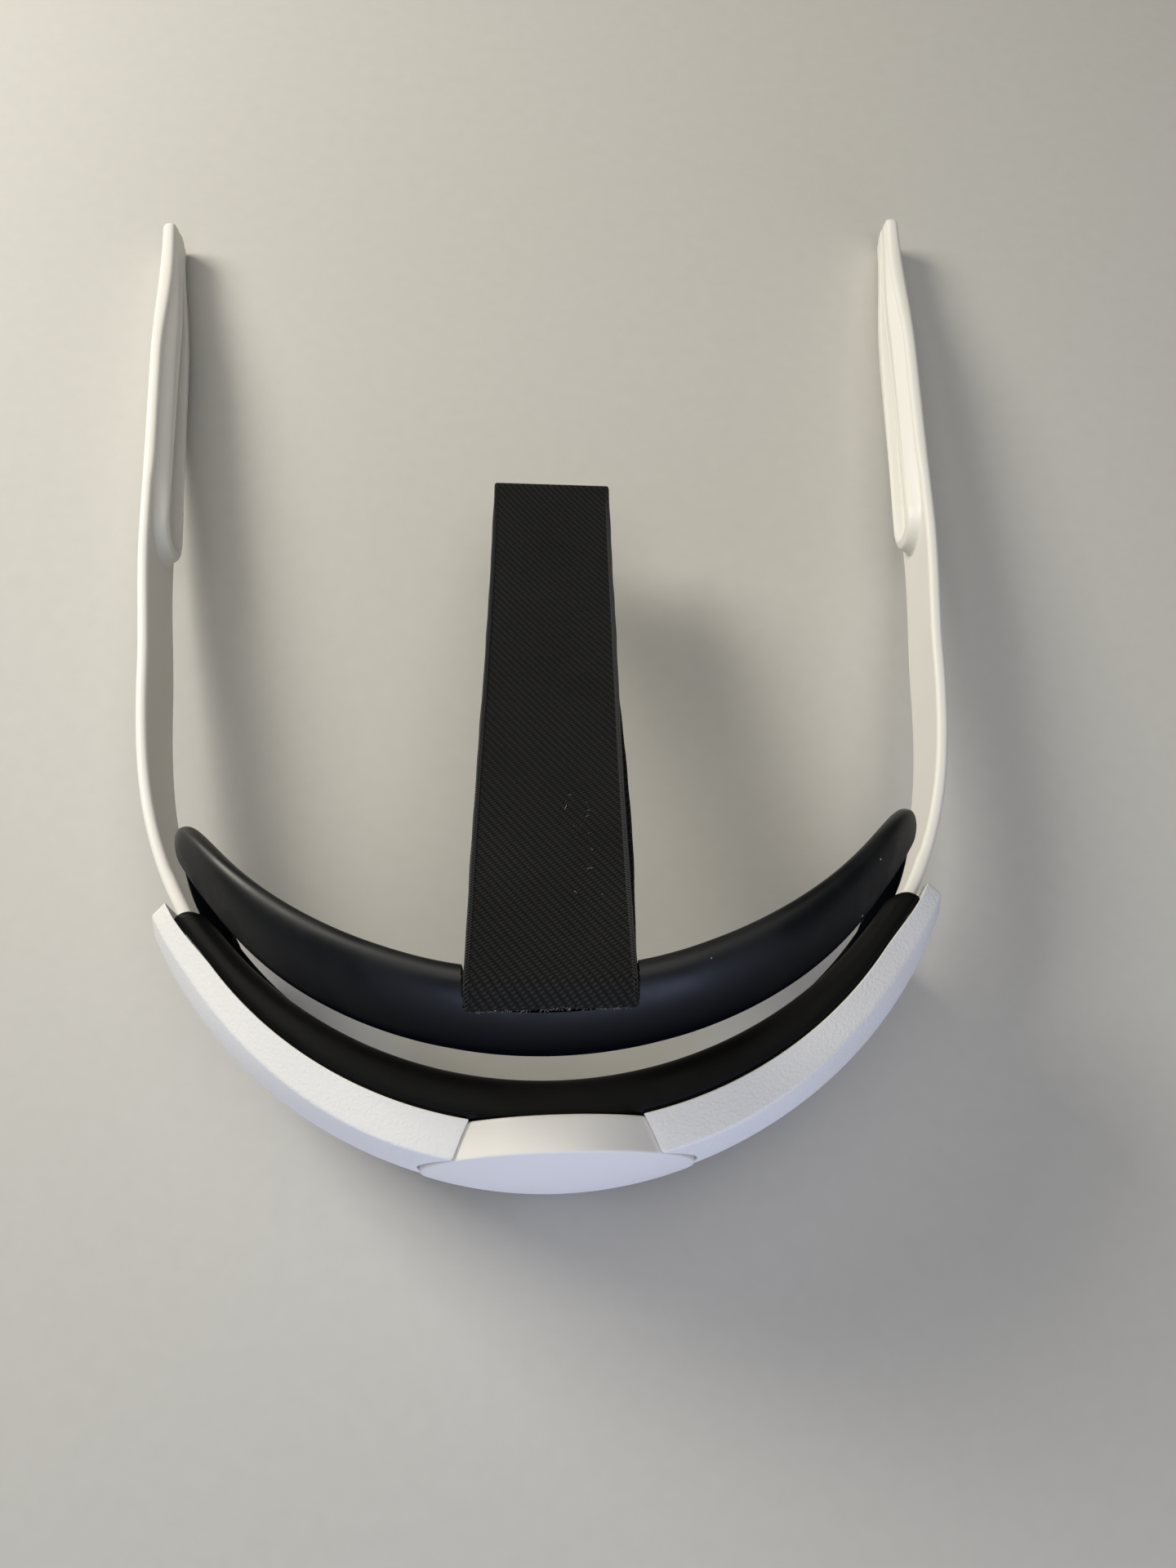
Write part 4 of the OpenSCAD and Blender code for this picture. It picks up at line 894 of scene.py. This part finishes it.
def edgeChain():
    # two sine waves in opposite phase along each edge, one over the other in turn
    s = chain
    at, line, normal, share, layer, _ = strapPath()
    start, end = at[np.argmax(layer > 0.99)], at[-1] - s["gaps"][1]
    loops = int((end - start) / s["pitch"])
    q = np.linspace(start + s["gaps"][0], end, loops * s["perLoop"])
    y, z, ny, nz, u = (np.interp(q, at, k) for k in (*line.T, *normal.T, share))
    yarns = []
    for edge in (-1, 1):
        for phase in (0, math.pi):
            turn = 2 * math.pi * (q - start) / s["pitch"] + phase
            x = edge * (lerp(*strap["width"], u) / 2 - s["inset"] + s["swing"] * np.sin(turn))
            x = x + strapShift(u, np.ones(len(u)))
            lift = -strap["thick"] / 2 - s["proud"] - s["bob"] * np.cos(turn) - s["follow"] * np.clip(1 - u, 0, 1)
            yarns.append(columns(x, y + lift * ny - foldBack(u, edge), z + lift * nz))
    return np.stack(yarns)


chainAt = yarnTube(edgeChain(), chain["radius"], chain["sides"])
edgeYarns = makePiece("edgeYarns", chainAt, yarnFaces(*chainAt.shape[:3]), crease=80)
dress(edgeYarns, "strap", finish["selvedge"], "webbing")


# Frayed fibres on the cut end, and lint on the upper layer

fray = dict(
    seed=11, radius=0.045, sides=4, stations=6,
    fibres=210, margin=1.0, lift=(-1.0, 0.3), size=(0.25, 0.8), swing=0.6, curl=0.5, start=0.15,
    lint=14, lintAt=(0.12, 0.30), lintSide=(2.5, 9.0), lintRun=0.3, lintSlant=0.45, lintBend=0.2,
    lintRise=(0.03, 0.10),
)


def looseFibres():
    # fray: short curls that leave the cut edge backward; lint: bent hairs that lie on the upper layer
    s = fray
    rng = np.random.default_rng(s["seed"])
    at, line, normal, share, layer, _ = strapPath()
    k = np.linspace(0, 1, s["stations"])[None, :]
    halfT = strap["thick"] / 2
    side = rng.uniform(-1, 1, s["fibres"])[:, None] * (strap["width"][0] / 2 - s["margin"])
    lift = rng.uniform(*s["lift"], s["fibres"])[:, None] * halfT
    size = rng.uniform(*s["size"], s["fibres"])[:, None]
    swing = rng.normal(0, s["swing"], s["fibres"])[:, None]
    curl = rng.normal(0, s["curl"], s["fibres"])[:, None]
    endY, endZ = line[-1]
    x = side + strap["sideways"] + size * swing * k ** 1.5
    tuft = columns(x, endY + s["start"] - size * k, endZ - lift + size * curl * k ** 2 / 2)
    n = s["lint"]
    u = rng.uniform(*s["lintAt"], n)
    top = np.argmax(layer > 0.99)
    q = np.interp(-u, -share[top:], at[top:])[:, None] + rng.normal(0, s["lintRun"], n)[:, None] * (2 * k - 1)
    x = rng.uniform(*s["lintSide"], n)[:, None] + rng.normal(0, s["lintSlant"], n)[:, None] * (k - 0.5)
    bow = np.sin(math.pi * k)
    x = x + s["lintBend"] * rng.normal(0, 1, n)[:, None] * bow
    lift = -halfT - s["lintRise"][0] - s["lintRise"][1] * bow
    y, z = (np.interp(q, at, line[:, c]) + lift * np.interp(q, at, normal[:, c]) for c in (0, 1))
    return join(tuft, columns(x, y, z))


fibreAt = yarnTube(looseFibres(), fray["radius"], fray["sides"])
looseYarns = makePiece("looseYarns", fibreAt, yarnFaces(*fibreAt.shape[:3]), crease=80)
dress(looseYarns, "strap", finish["frayed"], "webbing")
print("yarns:", len(edgeYarns.data.polygons), "and", len(looseYarns.data.polygons), "faces")


# Hook tape: a thin strip between the webbing's two layers

tape = dict(width=21.0, thick=0.62, span=(0.06, 0.90), sidePower=0.2, facePower=0.35, stations=160)


def tapeSurface():  # a superellipse with nearly square edges, carried along the middle between the layers
    s = tape
    u = np.linspace(*s["span"], s["stations"])
    line, _, rise = strapLower(u)
    line = line + strap["pitch"] / 2 * rise
    g = np.linspace(0, 2 * math.pi, 64, endpoint=False)[None, :]
    x = s["width"] / 2 * power(np.cos(g), s["sidePower"]) + strapShift(u, np.ones(len(u)))[:, None]
    out = (s["thick"] / 2 * power(np.sin(g), s["facePower"]))[..., None]
    return np.concatenate([x[..., None], line[:, None, :] + out * rise[:, None, :]], -1)


hookTape = makePiece("hookTape", tapeSurface(), crease=60)
dress(hookTape, "strap", finish["hooks"], "hook_tape", "hook_tape")
print("hook tape:", len(hookTape.data.polygons), "faces")


# Pieces that stay as they were built

keptFinish = {
    "screwSteel": ["cover_screws", "halo_screws", "leaf_screw", "wheel_screw", "left_rivets", "right_rivets"],
    "barSteel": ["strap_bar", "click_leaf"],
    "bushingBrass": ["shaft_bushing"],
    "gearPlastic": ["thrust_washer", "pinion", "left_rack", "right_rack"],
}
for name, members in keptFinish.items():
    for member in members:
        slots = nodes[member].data.materials
        slots.clear()
        slots.append(finish[name])
print("kept pieces:", sum(len(m) for m in keptFinish.values()))


# Floor, light and camera

stage = dict(
    floorSize=4.0, floorColour=(0.54, 0.525, 0.495), floorRough=0.75, mottle=260.0, mottleDark=0.97,
    world=(1.0, 1.0, 1.0), worldStrength=0.015,
)
lamps = [
    dict(name="window", at=(-0.48, 0.30, 0.42), size=(0.3, 0.3), energy=4.4, colour=(1.0, 0.97, 0.86)),
    dict(name="ceiling", at=(0.0, -0.05, 0.9), size=(0.9, 0.9), energy=4.0, colour=(1.0, 0.985, 0.93)),
    dict(name="sky", at=(0.10, -0.95, 0.22), size=(1.0, 0.25), energy=5.4, colour=(0.6, 0.69, 1.0)),
]
lampTarget = (0.0, 0.0, 0.03)
view = dict(
    at=(-0.36, -117.41, 245.15), pitch=70.87, yaw=-6.35, roll=4.65, focal=1398.7, longSide=1920.0, sensor=36.0,
)

floorMesh = bpy.data.meshes.new("floor")
reach = stage["floorSize"] / 2
corners = [(reach * x, reach * y, 0) for x, y in ((-1, -1), (1, -1), (1, 1), (-1, 1))]
floorMesh.from_pydata(corners, [], [range(4)])
floor = bpy.data.objects.new("floor", floorMesh)
bpy.context.scene.collection.objects.link(floor)
paint = lookMaker("floorPaint", {"Roughness": stage["floorRough"]})
mottle = paint.spread(paint.noise(paint.where(), stage["mottle"]), 0.0, 1.0)
pale = stage["floorColour"]
tint = paint.mix(mottle, shaded(pale, stage["mottleDark"]), pale)
floorMesh.materials.append(paint.feed({"Base Color": tint}))

world = bpy.data.worlds.new("studio")
bpy.context.scene.world = world
world.use_nodes = True
background = world.node_tree.nodes["Background"]
background.inputs["Color"].default_value = (*stage["world"], 1.0)
background.inputs["Strength"].default_value = stage["worldStrength"]


for lamp in lamps:
    light = bpy.data.lights.new(lamp["name"], "AREA")
    light.shape = "RECTANGLE"
    light.size, light.size_y = lamp["size"]
    light.energy = lamp["energy"]
    light.color = lamp["colour"]
    holder = bpy.data.objects.new(lamp["name"], light)
    bpy.context.scene.collection.objects.link(holder)
    back = Vector(lamp["at"]) - Vector(lampTarget)
    holder.matrix_world = Matrix.Translation(lamp["at"]) @ back.to_track_quat("Z", "Y").to_matrix().to_4x4()

camera = bpy.data.objects.new("camera", bpy.data.cameras.new("camera"))
bpy.context.scene.collection.objects.link(camera)
camera.data.sensor_width = view["sensor"]
camera.data.lens = view["focal"] / view["longSide"] * view["sensor"]
camera.data.clip_start = 0.01
pose = Matrix.Translation([mm * k for k in view["at"]])
for degrees, axis in ((view["yaw"], "Z"), (90 - view["pitch"], "X"), (view["roll"], "Z")):
    pose = pose @ Matrix.Rotation(math.radians(degrees), 4, axis)
camera.matrix_world = pose
bpy.context.scene.camera = camera
bpy.context.scene.view_settings.view_transform = "Standard"
print("stage ready")
